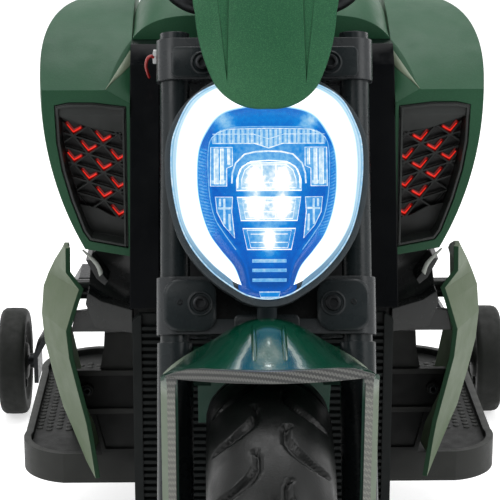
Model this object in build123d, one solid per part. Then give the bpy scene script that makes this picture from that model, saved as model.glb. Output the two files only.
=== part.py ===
from build123d import *
import os
from math import atan2, cos, degrees, radians, sin

# A child's battery ride-on in the style of a power cruiser motorcycle, in millimetres.
# The bike faces -Y, +Z is up and +X is the rider's left, which is on the right in a front view.
# The origin is on the ground, midway along the bike and between its sides.

# Wheels
front_axle_y = -400.0
front_wheel_radius = 160.0
front_tyre_width = 96.0
rear_axle_y = 372.0
rear_wheel_radius = 150.0
rear_tyre_width = 128.0
rim_share = 0.64            # rim radius as a share of its wheel's radius
axle_radius = 6.0
shaft_clearance = 0.06      # radial, a shaft in its running bore
part_clearance = 0.3        # between faces that meet across a joint
training_axle_back = 28.0   # training wheels' axle behind the rear axle
training_wheel_radius = 64.0
training_wheel_width = 34.0
training_track = 565.0      # between the middles of the two training wheels

# Steering and fork
rake = 22.6                 # steering axis, degrees back from upright
fork_offset = 38.0          # fork tubes ahead of the steering axis
tube_spacing = 146.0        # between the two fork tubes
tube_radius = 12.0
leg_radius = 14.5
stem_radius = 12.0
lower_clamp_from = 188.0    # along the steering axis from the axle
lower_clamp_height = 46.0
upper_clamp_from = 394.0
upper_clamp_height = 34.0
clamp_half_width = 88.0
head_tube_radius = 19.0

# Headlight
light_y = -335.0
light_z = 455.0
light_tilt = 20.0           # face leans back, degrees
light_bezel = 5.0           # housing outside the light ring
light_depth = 34.0

# Front fender
fender_gap = 14.0           # over the tyre
fender_wall = 3.0
fender_half_width = 82.0
fender_lip_y = -453.0       # middle of the lip
fender_lip_z = 337.0
fender_lip_sweep = 16.0     # how far the lip's ends lie behind its middle
fender_peak_y = -356.0
fender_peak_z = 354.0
band_height = 9.5

# Handlebar
bar_radius = 11.0
bar_rise_z = 648.0
grip_radius = 16.5
grip_length = 112.0
bar_half_width = 262.0

# Body
chassis_half_width = 88.0
belly_bottom = 112.0
neck_top = 540.0
seat_base_z = 372.0
wall = 3.0
pillar_width = 24.5
shroud_face_y = -192.0
shroud_inner = chassis_half_width + pillar_width
tank_half_width = shroud_inner - 0.5
intake_depth = 62.0
lattice_depth = 18.0
tank_top_z = 588.0
seat_half_width = 96.0
seat_front_y = 36.0
footboard_z = 140.0
footboard_half_width = 224.0
footboard_rim = 7.0

os.makedirs("parts", exist_ok=True)
pieces = {}


def keep(name, shape):
    """Stores a piece under the name that its file takes."""
    pieces[name] = shape


def both_sides(shape):
    """A solid of the +X side with its mirror twin across the bike's middle plane."""
    return Compound(children=[shape, shape.mirror(Plane.YZ)])


def keep_pair(name, shape):
    """Stores a piece of the rider's left, +X, as left_NAME and its twin as right_NAME."""
    keep("left_" + name, shape)
    keep("right_" + name, shape.mirror(Plane.YZ))


def side_plate(points, x_from, x_to):
    """A prism across the bike from a closed outline of (y, z) points."""
    face = make_face(Polyline(*points, close=True))
    return Pos(x_from, 0, 0) * extrude(Plane.YZ * face, amount=x_to - x_from)


def front_plate(points, y_from, y_to):
    """A prism along the bike from a closed outline of (x, z) points."""
    face = make_face(Polyline(*points, close=True))
    return Pos(0, y_to, 0) * extrude(Plane.XZ * face, amount=y_to - y_from)


def rod(start, end, radius):
    """A round bar between two points."""
    line = Vector(*end) - Vector(*start)
    plane = Plane(origin=start, z_dir=line)
    return plane.location * extrude(Circle(radius), amount=line.length)


def tube(start, end, radius, bore):
    """A round bar with a hole right through it."""
    line = Vector(*end) - Vector(*start)
    plane = Plane(origin=start, z_dir=line)
    return plane.location * extrude(Circle(radius) - Circle(bore), amount=line.length)


def wheel_plane(y, z):
    """Plane whose x runs along an axle and whose y is the height above it."""
    return Plane(origin=(0, y, z), x_dir=(1, 0, 0), z_dir=(0, -1, 0))


def turned(profile, y, z, x=0.0):
    """Turns a profile of (along the axle, radius) once round an axle."""
    face = wheel_plane(y, z).location * profile
    return Pos(x, 0, 0) * revolve(face, axis=Axis((0, y, z), (1, 0, 0)))


# Steering frame: z up the steering axis from the height of the front axle, y towards the rider.
rake_sin, rake_cos = sin(radians(rake)), cos(radians(rake))
front_axle_z = front_wheel_radius
steer_origin = (
    0,
    front_axle_y + fork_offset * rake_cos,
    front_axle_z - fork_offset * rake_sin,
)
steering = Plane(origin=steer_origin, x_dir=(1, 0, 0), z_dir=(0, rake_sin, rake_cos)).location
tube_x = tube_spacing / 2
upper_clamp_to = upper_clamp_from + upper_clamp_height
lower_clamp_to = lower_clamp_from + lower_clamp_height


def steer_point(x, y, z):
    """A point of the steering frame in the bike's frame."""
    return (steering * Pos(x, y, z)).position


# Wheels
def tyre(radius, width, y, z):
    """Round-crowned tyre, seated on the rim by its two beads."""
    half = width / 2
    seat = radius * rim_share
    bead = half * 0.78
    side = (radius + seat) / 2
    outline = [
        Line((-bead, seat), (bead, seat)),
        ThreePointArc((bead, seat), (half * 0.97, (seat + side) / 2), (half, side)),
        ThreePointArc((half, side), (half * 0.80, radius - half * 0.30), (0, radius)),
        ThreePointArc((0, radius), (-half * 0.80, radius - half * 0.30), (-half, side)),
        ThreePointArc((-half, side), (-half * 0.97, (seat + side) / 2), (-bead, seat)),
    ]
    return turned(make_face(outline), y, z)


def rim(radius, width, hub_half, y, z):
    """Moulded wheel: barrel with two flanges, ten paired spokes and a bored hub."""
    seat = radius * rim_share
    half = width / 2 * 0.78
    barrel_wall = 7.0
    flange = 4.0
    hub_radius = 24.0
    bore = axle_radius + shaft_clearance
    barrel = turned(
        make_face(
            Polyline(
                (-half, seat - barrel_wall), (half, seat - barrel_wall), (half, seat), (-half, seat),
                close=True,
            )
        ),
        y, z,
    )
    lip = make_face(
        Polyline(
            (half, seat - barrel_wall - 2), (half + flange, seat - barrel_wall - 2),
            (half + flange, seat - 0.5), (half, seat - 0.5),
            close=True,
        )
    )
    lips = turned(lip, y, z) + turned(lip.mirror(Plane.YZ), y, z)
    hub = tube((-hub_half, y, z), (hub_half, y, z), hub_radius, bore)
    spoke_half = half * 0.62
    reach = seat - barrel_wall / 2
    spoke = extrude(
        Plane.XZ * make_face(
            Polyline(
                (-spoke_half, hub_radius - 3), (spoke_half, hub_radius - 3),
                (spoke_half * 0.8, reach), (-spoke_half * 0.8, reach),
                close=True,
            )
        ),
        amount=5.5, both=True,
    )
    spokes = []
    spoke_pairs = 5
    pair_angle = 11.0
    for step in range(spoke_pairs):
        for lean in (-pair_angle, pair_angle):
            angle = step * 360 / spoke_pairs + lean
            spokes.append(Pos(0, y, z) * Rot(angle, 0, 0) * spoke)
    web = turned(
        make_face(
            Polyline((-4, hub_radius - 3), (4, hub_radius - 3), (4, reach), (-4, reach), close=True)
        ),
        y, z,
    )
    return barrel + lips + hub + web + spokes


def training_wheel(x):
    """Hard plastic wheel with a ribbed tread, dished face and bored hub."""
    half = training_wheel_width / 2
    radius = training_wheel_radius
    bore = training_bolt_radius + shaft_clearance
    outline = Polyline(
        (-half, bore), (half, bore), (half, 13), (half - 6, 15), (half - 8, radius * 0.66),
        (half - 1, radius * 0.74), (half, radius * 0.92), (half - 5, radius),
        (-half + 5, radius), (-half, radius * 0.92), (-half + 1, radius * 0.74),
        (-half + 8, radius * 0.66), (-half + 6, 15), (-half, 13),
        close=True,
    )
    return turned(make_face(outline), training_axle_y, training_wheel_radius, x)


training_bolt_radius = 5.0
training_axle_y = rear_axle_y + training_axle_back
front_hub_half = 42.0
rear_hub_half = 66.0
rear_axle_z = rear_wheel_radius
keep("front_tyre", tyre(front_wheel_radius, front_tyre_width, front_axle_y, front_axle_z))
keep("front_rim", rim(front_wheel_radius, front_tyre_width, front_hub_half, front_axle_y, front_axle_z))
keep("rear_tyre", tyre(rear_wheel_radius, rear_tyre_width, rear_axle_y, rear_axle_z))
keep("rear_rim", rim(rear_wheel_radius, rear_tyre_width, rear_hub_half, rear_axle_y, rear_axle_z))
keep_pair("training_wheel", training_wheel(training_track / 2))


# Fork
def fork_leg(x):
    """Upper tube, thicker lower leg and the foot that grips the front axle."""
    tube_top = upper_clamp_to + 6
    leg_top = lower_clamp_from - 6
    leg = steering * Pos(x, -fork_offset, -4) * extrude(Circle(leg_radius), amount=leg_top + 4)
    upper = steering * Pos(x, -fork_offset, leg_top - 10) * extrude(
        Circle(tube_radius), amount=tube_top - leg_top + 10
    )
    foot = steering * Pos(x, -fork_offset, -22) * extrude(
        RectangleRounded(2 * leg_radius, 40, 9), amount=44
    )
    hole = rod((x - 40, front_axle_y, front_axle_z), (x + 40, front_axle_y, front_axle_z), axle_radius)
    return leg + upper + foot - hole


def clamp(height, ear_radius):
    """A fork yoke: two ears round the tubes, a bridge and the stem boss."""
    back = 14.0
    ears = [Pos(side * tube_x, -fork_offset) * Circle(ear_radius) for side in (-1, 1)]
    web = make_face(
        Polyline(
            (-tube_x, -fork_offset - ear_radius), (tube_x, -fork_offset - ear_radius),
            (tube_x + ear_radius * 0.6, -fork_offset + ear_radius * 0.6), (36, back), (-36, back),
            (-tube_x - ear_radius * 0.6, -fork_offset + ear_radius * 0.6),
            close=True,
        )
    )
    body = web + ears + Circle(stem_radius + 8)
    holes = [Pos(side * tube_x, -fork_offset) * Circle(tube_radius) for side in (-1, 1)]
    plan = body - holes - Circle(stem_radius)
    return extrude(plan, amount=height)


ear_radius = clamp_half_width - tube_x
lower_clamp = steering * Pos(0, 0, lower_clamp_from) * clamp(lower_clamp_height, ear_radius)
# The photographed yoke is cut down between its ears to a thin bridge, so the light clears it.
notch_half = tube_x - 29
bridge_height = 12.0
lower_clamp -= steering * Pos(0, -fork_offset - 10, lower_clamp_to) * Box(
    2 * notch_half, 60, 2 * (lower_clamp_height - bridge_height)
)
upper_clamp = steering * Pos(0, 0, upper_clamp_from) * clamp(upper_clamp_height, ear_radius)
keep("lower_clamp", lower_clamp)
keep("upper_clamp", upper_clamp)
keep("fork_legs", Compound(children=[fork_leg(-tube_x), fork_leg(tube_x)]))
keep(
    "steering_stem",
    steering * Pos(0, 0, lower_clamp_from - 3) * extrude(
        Circle(stem_radius), amount=upper_clamp_to - lower_clamp_from + 9
    ),
)
axle_reach = tube_x + leg_radius + 7
front_axle = rod(
    (-axle_reach, front_axle_y, front_axle_z), (axle_reach, front_axle_y, front_axle_z), axle_radius
)
for side in (-1, 1):
    front_axle += rod(
        (side * (front_hub_half + part_clearance), front_axle_y, front_axle_z),
        (side * (tube_x - leg_radius), front_axle_y, front_axle_z),
        axle_radius + 4,
    )
keep("front_axle", front_axle)


# Headlight, in its own frame: x across, y up its face, z out of the face
light_frame = Plane(
    origin=(0, light_y, light_z),
    x_dir=(1, 0, 0),
    z_dir=(0, -cos(radians(light_tilt)), sin(radians(light_tilt))),
).location


def mirrored_outline(arcs):
    """Closes a right-hand run of three-point arcs with its mirror image."""
    edges = []
    for start, middle, end in arcs:
        edges.append(ThreePointArc(start, middle, end))
        edges.append(ThreePointArc(*[(-x, y) for x, y in (start, middle, end)]))
    return make_face(edges)


light_outer = mirrored_outline(
    [
        ((0, 90), (27, 87), (50, 75)),
        ((50, 75), (68, 54), (75, 24)),
        ((75, 24), (73, -5), (66, -32)),
        ((66, -32), (49, -58), (24, -78)),
        ((24, -78), (13, -84), (0, -86)),
    ]
)
light_inner = mirrored_outline(
    [
        ((0, 66), (17, 65), (32, 60)),
        ((32, 60), (47, 38), (53.5, 8)),
        ((53.5, 8), (51, -17), (41, -39)),
        ((41, -39), (33, -48), (22, -58)),
        ((22, -58), (21, -68), (19, -79)),
        ((19, -79), (10, -81), (0, -82)),
    ]
)
bezel_face = offset(light_outer, amount=light_bezel)
ring_depth = 9.0
bowl_depth = 30.0
housing_front = light_frame * Pos(0, 0, -light_depth) * extrude(bezel_face, amount=light_depth - 3)
bowl = light_frame * Pos(0, 0, -bowl_depth) * extrude(light_inner, amount=bowl_depth + 5)
ring_seat = light_frame * Pos(0, 0, -ring_depth) * extrude(light_outer, amount=ring_depth + 5)
can_face = RectangleRounded(104, 84, 24)
can = light_frame * Pos(0, 2, -light_depth - 24) * extrude(can_face, amount=26, taper=-10)
struts = []
for side in (-1, 1):
    struts.append(rod(steer_point(side * 24, -68, 384), steer_point(side * 24, -46, 402), 6) - upper_clamp)
boss = rod((0, -338, 352), (0, -344, 368), 8) - lower_clamp
housing = housing_front + can + struts + boss - bowl - ring_seat
ring = light_frame * Pos(0, 0, -ring_depth) * extrude(light_outer - light_inner, amount=ring_depth)
ring -= light_frame * Pos(0, -80, 0) * Box(44, 44, 3 * ring_depth)
keep("headlight_ring", ring)


def reflector():
    """Stepped reflector: back plate, rib row, side cells, wings and three stacked lens cells."""
    back = 4.0
    gap = 1.0
    floor_plate = Pos(0, 0, -bowl_depth) * extrude(offset(light_inner, amount=-gap), amount=back)

    def raised(points, height):
        face = make_face(Polyline(*points, close=True))
        return Pos(0, 0, -bowl_depth + back) * extrude(face, amount=height)

    solids = floor_plate
    solids += raised([(-35, 47), (35, 47), (42, 36), (-42, 36)], 12)
    for side in (-1, 1):
        cell = [(46, 31), (32, 31), (32, 1), (45, 1)]
        wing = [(43, -5), (32, -5), (27, -38), (34, -30), (40, -18)]
        solids += raised([(side * x, y) for x, y in cell], 10)
        solids += raised([(side * x, y) for x, y in wing], 9)
    solids += raised([(-26, 8), (-18, 29), (18, 29), (26, 8), (22, -46), (-22, -46)], 6)
    for low, high, half_top, half_low in ((-1, 20, 22, 25), (-24, -6, 25, 22), (-46, -30, 20, 16)):
        solids += raised([(-half_top, high), (half_top, high), (half_low, low), (-half_low, low)], 14)
    for height in (-56, -63.5, -71):
        solids += raised([(-13, height - 2), (13, height - 2), (13, height + 2), (-13, height + 2)], 4)
    return light_frame * solids


keep("headlight_reflector", reflector())
lens_face = offset(light_outer, amount=light_bezel - 1.5)
keep("headlight_lens", light_frame * Pos(0, 0, 0.4) * extrude(lens_face, amount=1.6))


# Nose cowl: a curved tongue over the top of the light
def nose_cowl():
    """A tongue-shaped outline cut from a shell that is arched across the bike."""
    lean = 28.0
    frame = Plane(
        origin=(0, -329, 519), x_dir=(1, 0, 0), z_dir=(0, -cos(radians(lean)), sin(radians(lean)))
    ).location
    wall_now = 3.0
    outline = mirrored_outline(
        [
            ((0, 0), (26, 6), (41, 22)),
            ((41, 22), (50, 46), (56, 82)),
            ((56, 82), (53, 110), (38, 124)),
            ((38, 124), (20, 128), (0, 129)),
        ]
    )
    arch_radius = 200.0
    arch = Circle(arch_radius) - Circle(arch_radius - wall_now)
    shell = Pos(0, 0, -arch_radius) * Rot(-90, 0, 0) * extrude(arch, amount=150, both=True)
    tongue = Pos(0, 0, -30) * extrude(outline, amount=60)
    dimple_floor = -4.2
    dimple = Pos(0, 0, dimple_floor) * extrude(
        make_face(Polyline((31, 26), (41, 118), (29, 118), close=True)), amount=12, taper=-12
    )
    return frame * (shell & tongue - dimple - dimple.mirror(Plane.YZ))


cowl = nose_cowl()
keep("nose_cowl", cowl)
cowl_posts = []
for side in (-1, 1):
    post = rod((side * 20, -288, 530), (side * 20, -300, 576), 5) - cowl
    cowl_posts.append(post.solids().sort_by(Axis.Z)[0])
keep("headlight_housing", housing + cowl_posts)

# Instrument pod behind the cowl, on the upper clamp
dash_frame = steering * Pos(0, -46, upper_clamp_to + 8)
dash = dash_frame * extrude(RectangleRounded(92, 52, 16), amount=30, taper=8)
dash += dash_frame * Pos(0, 8, -8) * extrude(RectangleRounded(60, 24, 8), amount=9)
dash -= dash_frame * Pos(0, 0, 28.5) * extrude(Circle(18), amount=5)
keep("dash", dash)

# Front fender
def swept_front(y_middle):
    """Prism of everything behind a lip line that curves back towards its ends."""
    half = fender_half_width
    end_y = y_middle + fender_lip_sweep
    face = make_face(
        [
            ThreePointArc((-half, end_y), (0, y_middle), (half, end_y)),
            Line((half, end_y), (half, -250)),
            Line((half, -250), (-half, -250)),
            Line((-half, -250), (-half, end_y)),
        ]
    )
    return Pos(0, 0, 150) * extrude(face, amount=250)


def hood_section(y, peak, shoulder, edge, flat):
    """Rounded roof across the bike at one y, as deep as the fender's wall."""
    half = fender_half_width
    top = [(-half, edge), (-half * 0.78, (edge + shoulder) / 2 + 2), (-half * 0.55, shoulder), (-flat, peak),
           (flat, peak), (half * 0.55, shoulder), (half * 0.78, (edge + shoulder) / 2 + 2), (half, edge)]
    low = [(x, z - fender_wall) for x, z in reversed(top)]
    edges = [Spline(*top), Line(top[-1], low[0]), Spline(*low), Line(low[-1], top[0])]
    return Pos(0, y, 0) * (Plane.XZ * make_face(edges))


def below_lip(drop):
    """Everything under the lip's top line, which falls away to its corners, less a drop."""
    top = fender_lip_z + band_height - drop
    half = fender_half_width
    side = [(half - 32, top), (half - 20, top - 1.6), (half - 10, top - 5.5), (half + 1, top - 10.5),
            (half + 1, 150)]
    return front_plate(side + [(-x, z) for x, z in reversed(side)], -480, -250)


def fender_hood():
    """Duck-billed hood from a curved lip up to a peak, with a tongue between two slots."""
    lip_top = fender_lip_z + band_height
    hood = loft(
        [
            hood_section(fender_lip_y - 1, lip_top, lip_top - 0.3, lip_top - 9.5, 20),
            hood_section(-436, lip_top + 1.5, lip_top - 0.8, 336, 20),
            hood_section(-405, 353, 343, 327, 19),
            hood_section(fender_peak_y, fender_peak_z, 338, 312, 18),
        ]
    )
    hood &= swept_front(fender_lip_y + fender_wall + part_clearance)
    slot_x, slot_width = 11.3, 3.0
    for side in (-1, 1):
        hood -= Pos(side * slot_x, -407, 350) * Box(slot_width, 50, 40)
    return hood


guard_front_y = fender_lip_y + 14.5
guard_lean = (0, sin(radians(5)), -cos(radians(5)))
guard_length = 150.0


def fender_guard():
    """Skirt of the +X side: a narrow front wall, a bevel and a side wall down past the fork leg."""
    half = fender_half_width
    y = guard_front_y
    plan = make_face(
        Polyline(
            (half - 13, y), (half - 5, y), (half, y + 7.5), (half, y + 70), (half - 3, y + 70),
            (half - 3, y + 9), (half - 6.2, y + 3), (half - 13, y + 3),
            close=True,
        )
    )
    walls = Pos(0, 0, 342) * extrude(plan, amount=guard_length, dir=guard_lean)
    silhouette = side_plate(
        [(y - 20, 336.6), (y + 4, 336.6), (y + 4.5, 337.8), (-405, 324.5), (-358, 307), (-376, 262),
         (-414, 192), (y - 20, 192)],
        0, half + 1,
    )
    return walls & silhouette & below_lip(fender_wall / 2)


def fender_band():
    """Curved strip along the lip, flared corners and a leg down the front of each guard."""
    half = fender_half_width
    strip = swept_front(fender_lip_y) - swept_front(fender_lip_y + fender_wall)
    strip &= Pos(0, -400, fender_lip_z + band_height / 2 - 2) * Box(400, 200, band_height + 4)
    strip -= Pos(0, -400, fender_lip_z - 5) * Box(2 * half - 24, 200, 10)
    front, back = guard_front_y - 3, guard_front_y - part_clearance
    strip -= Pos(0, back + 50, fender_lip_z - 4) * Box(3 * half, 100, 10.4)
    leg_plan = make_face(
        Polyline((half - 11, front), (half - 5, front + 1.5), (half - 5, back), (half - 11, back), close=True)
    )
    top = fender_lip_z + 1
    leg = Pos(0, 0, top) * extrude(leg_plan, amount=guard_length - 9, dir=guard_lean)
    flare_face = make_face(
        [
            Line((half - 30, top), (half - 8, top)),
            Line((half - 8, top), (half - 8, fender_lip_z - 20)),
            ThreePointArc((half - 8, fender_lip_z - 20), (half - 15, fender_lip_z - 4.5), (half - 30, top)),
        ]
    )
    flare = Pos(0, back, 0) * extrude(Plane.XZ * flare_face, amount=10)
    flare &= swept_front(fender_lip_y)
    corner_piece = leg + flare
    return (strip + corner_piece + corner_piece.mirror(Plane.YZ)) & below_lip(0)


def wheel_hugger():
    """Arched strip over the tyre, from under the hood back behind the wheel."""
    inner = front_wheel_radius + fender_gap
    half = front_tyre_width / 2 + 8
    strip = turned(
        make_face(
            Polyline((-half, inner), (half, inner), (half, inner + fender_wall),
                     (-half, inner + fender_wall), close=True)
        ),
        front_axle_y, front_axle_z,
    )
    wedge = side_plate(
        [(front_axle_y, front_axle_z), (-388, 400), (-150, 400), (-150, 262)], -half - 1, half + 1
    )
    lugs = [
        Pos(side * (tube_x - leg_radius - 7), -340, 312) * Box(14, 20, 26) for side in (-1, 1)
    ]
    legs = [rod(steer_point(side * tube_x, -fork_offset, 100), steer_point(side * tube_x, -fork_offset, 240),
                leg_radius) for side in (-1, 1)]
    return (strip & wedge) + lugs - legs


guard = fender_guard()
keep("front_fender", fender_hood() + wheel_hugger() + guard + guard.mirror(Plane.YZ))
keep("fender_trim", fender_band())

# Handlebar with two risers on the upper clamp
bar_back = 6.0
bar_height = 44.0
bar_start = steer_point(0, bar_back, upper_clamp_to + bar_height)
bar_y, bar_z = bar_start.Y, bar_start.Z
bar_points = [
    (-bar_half_width, bar_y + 62, bar_rise_z + 8),
    (-128, bar_y + 14, bar_rise_z),
    (-62, bar_y, bar_z),
    (62, bar_y, bar_z),
    (128, bar_y + 14, bar_rise_z),
    (bar_half_width, bar_y + 62, bar_rise_z + 8),
]
bar_line = FilletPolyline(*bar_points, radius=34)
bar_plane = Plane(origin=bar_points[0], z_dir=Vector(*bar_points[1]) - Vector(*bar_points[0]))
handlebar = sweep(bar_plane.location * Circle(bar_radius), path=bar_line)
keep("handlebar", handlebar)
riser_x = 30.0
risers = []
for side in (-1, 1):
    riser = steering * Pos(side * riser_x, bar_back, upper_clamp_to) * extrude(
        RectangleRounded(16, 2 * bar_radius + 10, 4), amount=bar_height + bar_radius + 5
    )
    risers.append(riser - rod((side * 60, bar_y, bar_z), (side * 2, bar_y, bar_z), bar_radius))
keep("handlebar_risers", Compound(children=risers))

# Grip frame: x outward along the bar, z upward, origin where the grip starts
bar_end = Vector(*bar_points[5])
bar_way = (bar_end - Vector(*bar_points[4])).normalized()
grip_start = bar_end - bar_way * grip_length
grip_up = Vector(0, 0, 1) - bar_way * bar_way.Z
grip_frame = Plane(origin=grip_start, x_dir=bar_way, z_dir=grip_up).location
along_bar = grip_frame * Rot(0, 90, 0)


def grip():
    """Rubber sleeve with a flange and a closed end, over the end of the bar."""
    cap = 5.0
    sleeve = extrude(Circle(grip_radius), amount=grip_length + cap)
    flange = extrude(Circle(grip_radius + 8), amount=4)
    hole = extrude(Circle(bar_radius), amount=grip_length)
    return along_bar * (sleeve + flange - hole)


def lever():
    """Moulded hand lever on its perch, with a finger gap in front of the grip."""
    perch_length = 18.0
    perch = Pos(0, 0, -perch_length - 2) * extrude(
        Circle(bar_radius + 5) - Circle(bar_radius), amount=perch_length
    )
    blade_outline = [
        (-18, -14), (-5, -14), (-3, -30), (10, -40), (88, -46), (104, -40), (106, -46), (88, -53),
        (2, -47), (-18, -28),
    ]
    blade = extrude(make_face(Polyline(*blade_outline, close=True)), amount=3.5, both=True)
    return along_bar * perch + grip_frame * blade


keep_pair("grip", grip())
keep("levers", both_sides(lever()))

# Chassis: belly, steering neck and tail as one closed moulding, with the steering head
neck_set_back = 36.0
neck_low = steer_point(0, neck_set_back, 214)
neck_high = steer_point(0, neck_set_back, 424)
chassis_front_y = -200.0
belly_rear_y = rear_axle_y - 182
seat_rear_y = rear_axle_y - 72
tail_y = rear_axle_y + 102
tail_ramp = ((seat_rear_y, seat_base_z), (seat_rear_y + 36, seat_base_z + 48))
tail_under_front = (rear_axle_y - 20, 340.0)
tail_under_rear = (tail_y, 428.0)


def tail_underside(y):
    """Height of the tail's underside at y."""
    rise = (tail_under_rear[1] - tail_under_front[1]) / (tail_under_rear[0] - tail_under_front[0])
    return tail_under_front[1] + rise * (y - tail_under_front[0])


chassis_outline = [
    (chassis_front_y + 20, belly_bottom), (chassis_front_y, belly_bottom + 24),
    (chassis_front_y, neck_low.Z - 14), (neck_low.Y, neck_low.Z), (neck_high.Y, neck_high.Z),
    (neck_high.Y + 14, neck_top), (-34, neck_top), (seat_front_y - 6, 420),
    (seat_front_y, seat_base_z), tail_ramp[0], tail_ramp[1], (tail_y, 452),
    tail_under_rear, tail_under_front, (belly_rear_y, 330), (belly_rear_y, belly_bottom + 20),
    (belly_rear_y - 20, belly_bottom),
]
chassis = side_plate(chassis_outline, -chassis_half_width, chassis_half_width)
battery_size = (151, 99, 96)
battery_at = (0, 118, 270)
battery_room = 4.0
bay_top = seat_base_z + 1
bay = Pos(battery_at[0], battery_at[1], (battery_at[2] + bay_top) / 2) * Box(
    battery_size[0] + battery_room, battery_size[1] + battery_room, bay_top - battery_at[2]
)
chassis -= bay
head_from, head_to = lower_clamp_to + part_clearance, upper_clamp_from - part_clearance
head_tube = steering * Pos(0, 0, head_from) * extrude(Circle(head_tube_radius), amount=head_to - head_from)
gusset = steering * Pos(0, neck_set_back / 2 + 1, (head_from + head_to) / 2) * Box(
    30, neck_set_back + 2, head_to - head_from - 12
)
stem_bore = steering * Pos(0, 0, head_from - 5) * extrude(
    Circle(stem_radius + shaft_clearance), amount=head_to - head_from + 10
)
side_cover = side_plate(
    [(44, 300), (belly_rear_y + 30, 300), (seat_rear_y - 16, 332), (seat_rear_y - 4, 360), (58, 360),
     (44, 348)],
    chassis_half_width - 1, chassis_half_width + 6,
)
side_cover = chamfer(side_cover.faces().sort_by(Axis.X)[-1].edges(), 3)
chassis = chassis + head_tube + gusset - stem_bore + side_cover + side_cover.mirror(Plane.YZ)
keep("chassis", chassis)
keep("battery", Pos(battery_at[0], battery_at[1], battery_at[2] + battery_size[2] / 2) * Box(*battery_size))


def radiator_panel():
    """Ribbed front of the belly between two raised borders, wider than the chassis behind it."""
    half = chassis_half_width + 25
    border = 8.0
    low, high = belly_bottom + 26, neck_low.Z - 16
    back = 3.0
    rib_pitch, rib_height, rib_out = 6.2, 3.0, 4.5
    panel = front_plate([(-half, low), (half, low), (half, high - 6), (half - 6, high), (6 - half, high),
                         (-half, high - 6)], chassis_front_y - back, chassis_front_y)
    count = int((high - low - rib_height) / rib_pitch)
    ribs = [
        Pos(0, chassis_front_y - back - rib_out / 2, low + rib_height / 2 + step * rib_pitch)
        * Box(2 * (half - border), rib_out, rib_height)
        for step in range(count)
    ]
    borders = []
    for side in (-1, 1):
        outline = [(side * (half - border), low), (side * half, low), (side * half, high - 6),
                   (side * (half - 6), high), (side * (half - border), high)]
        borders.append(front_plate(outline, chassis_front_y - back - rib_out - 1, chassis_front_y - back))
    return panel + ribs + borders


keep("radiator_panel", radiator_panel())

# Glossy pillars beside the fork, parallel to the steering axis
pillar_low = steer_point(0, neck_set_back - 6, 216)
pillar_high = steer_point(0, neck_set_back - 6, 424)
pillar = side_plate(
    [(pillar_low.Y, pillar_low.Z), (pillar_high.Y, pillar_high.Z), (-156, neck_top), (-96, neck_top),
     (-96, 334)],
    chassis_half_width, chassis_half_width + pillar_width,
)
keep("pillars", both_sides(pillar))


# Shrouds with their intakes
def shroud_section(y, low_in, top_in, top_out, middle, low_out):
    """Closed outline of the shroud at one y: flat inner side, curved outer side given from there."""
    top_out, middle, low_out = [(shroud_inner + x, z) for x, z in (top_out, middle, low_out)]
    inner_low, inner_top = (shroud_inner, low_in), (shroud_inner, top_in)
    edges = [
        Line(inner_low, inner_top),
        Line(inner_top, top_out),
        ThreePointArc(top_out, middle, low_out),
        Line(low_out, inner_low),
    ]
    return Pos(0, y, 0) * (Plane.XZ * make_face(edges))


def shroud():
    """Scoop lofted from its tall front lip back and up beside the tank."""
    sections = [
        shroud_section(shroud_face_y, 361, 507, (74.5, 507), (69, 446), (40.5, 368)),
        shroud_section(-150, 366, 531, (77.5, 532), (74, 462), (44.5, 378)),
        shroud_section(-90, 386, 556, (68.5, 556), (66.5, 486), (38.5, 402)),
        shroud_section(-24, 412, 566, (42.5, 562), (43.5, 500), (24.5, 428)),
        shroud_section(34, 442, 556, (11.5, 548), (13.5, 502), (8.5, 452)),
    ]
    return loft(sections)


intake_outline = [
    (shroud_inner + x, z) for x, z in (
        (3, 368.5), (3, 493), (31, 496.5), (52, 496.5), (64, 494), (63, 462), (59, 437), (52, 411), (42, 383),
        (36.5, 375),
    )
]


def intake_face(shrink):
    """The intake's opening as a face, drawn in by a margin."""
    return Plane.XZ * offset(make_face(Polyline(*intake_outline, close=True)), amount=-shrink)


def intake_block(shrink, y_from, y_to):
    """A prism of the intake's outline between two depths."""
    return Pos(0, y_to, 0) * extrude(intake_face(shrink), amount=y_to - y_from)


def corner_cut(a, b, c):
    """Block on the far side of a plane through three points, to slice a corner off with."""
    a, b, c = Vector(*a), Vector(*b), Vector(*c)
    plane = Plane(origin=a, x_dir=b - a, z_dir=(b - a).cross(c - a))
    return plane.location * Pos(0, 0, 40) * Box(300, 300, 80)


corner = corner_cut(
    (shroud_inner + 20.5, shroud_face_y, 507.5),
    (shroud_inner + 0.5, shroud_face_y + 52, 534),
    (shroud_inner, shroud_face_y, 495.5),
)
keep_pair("shroud", shroud() - intake_block(0, shroud_face_y - 20, shroud_face_y + intake_depth) - corner)

# Lattice of the intake: three families of bars that cross at the same nodes
lattice_node = (shroud_inner + 24.3, 431.3)
lattice_steep = (-12.6, -16.3)
lattice_flat = (-12.6, 8.4)
bar_width = 1.7
bar_depth = 4.0
lattice_y = shroud_face_y + lattice_depth
window_outline = [
    (shroud_inner + x, z) for x, z in (
        (5.5, 386), (5.5, 480), (59.5, 492), (58.5, 462), (54.5, 440), (47, 412), (34, 396), (16, 392),
    )
]


def lattice_point(i, j):
    """Crossing point number i along the steep bars and j along the flat ones."""
    return (
        lattice_node[0] + i * lattice_steep[0] + j * lattice_flat[0],
        lattice_node[1] + i * lattice_steep[1] + j * lattice_flat[1],
    )


def strip(start, end, width):
    """A flat strip of a given width between two points of the lattice plane."""
    line = Vector(*end) - Vector(*start)
    middle = (Vector(*start) + Vector(*end)) * 0.5
    angle = degrees(atan2(line.Y, line.X))
    return Pos(middle.X, middle.Y) * Rot(0, 0, angle) * Rectangle(line.length, width)


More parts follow.
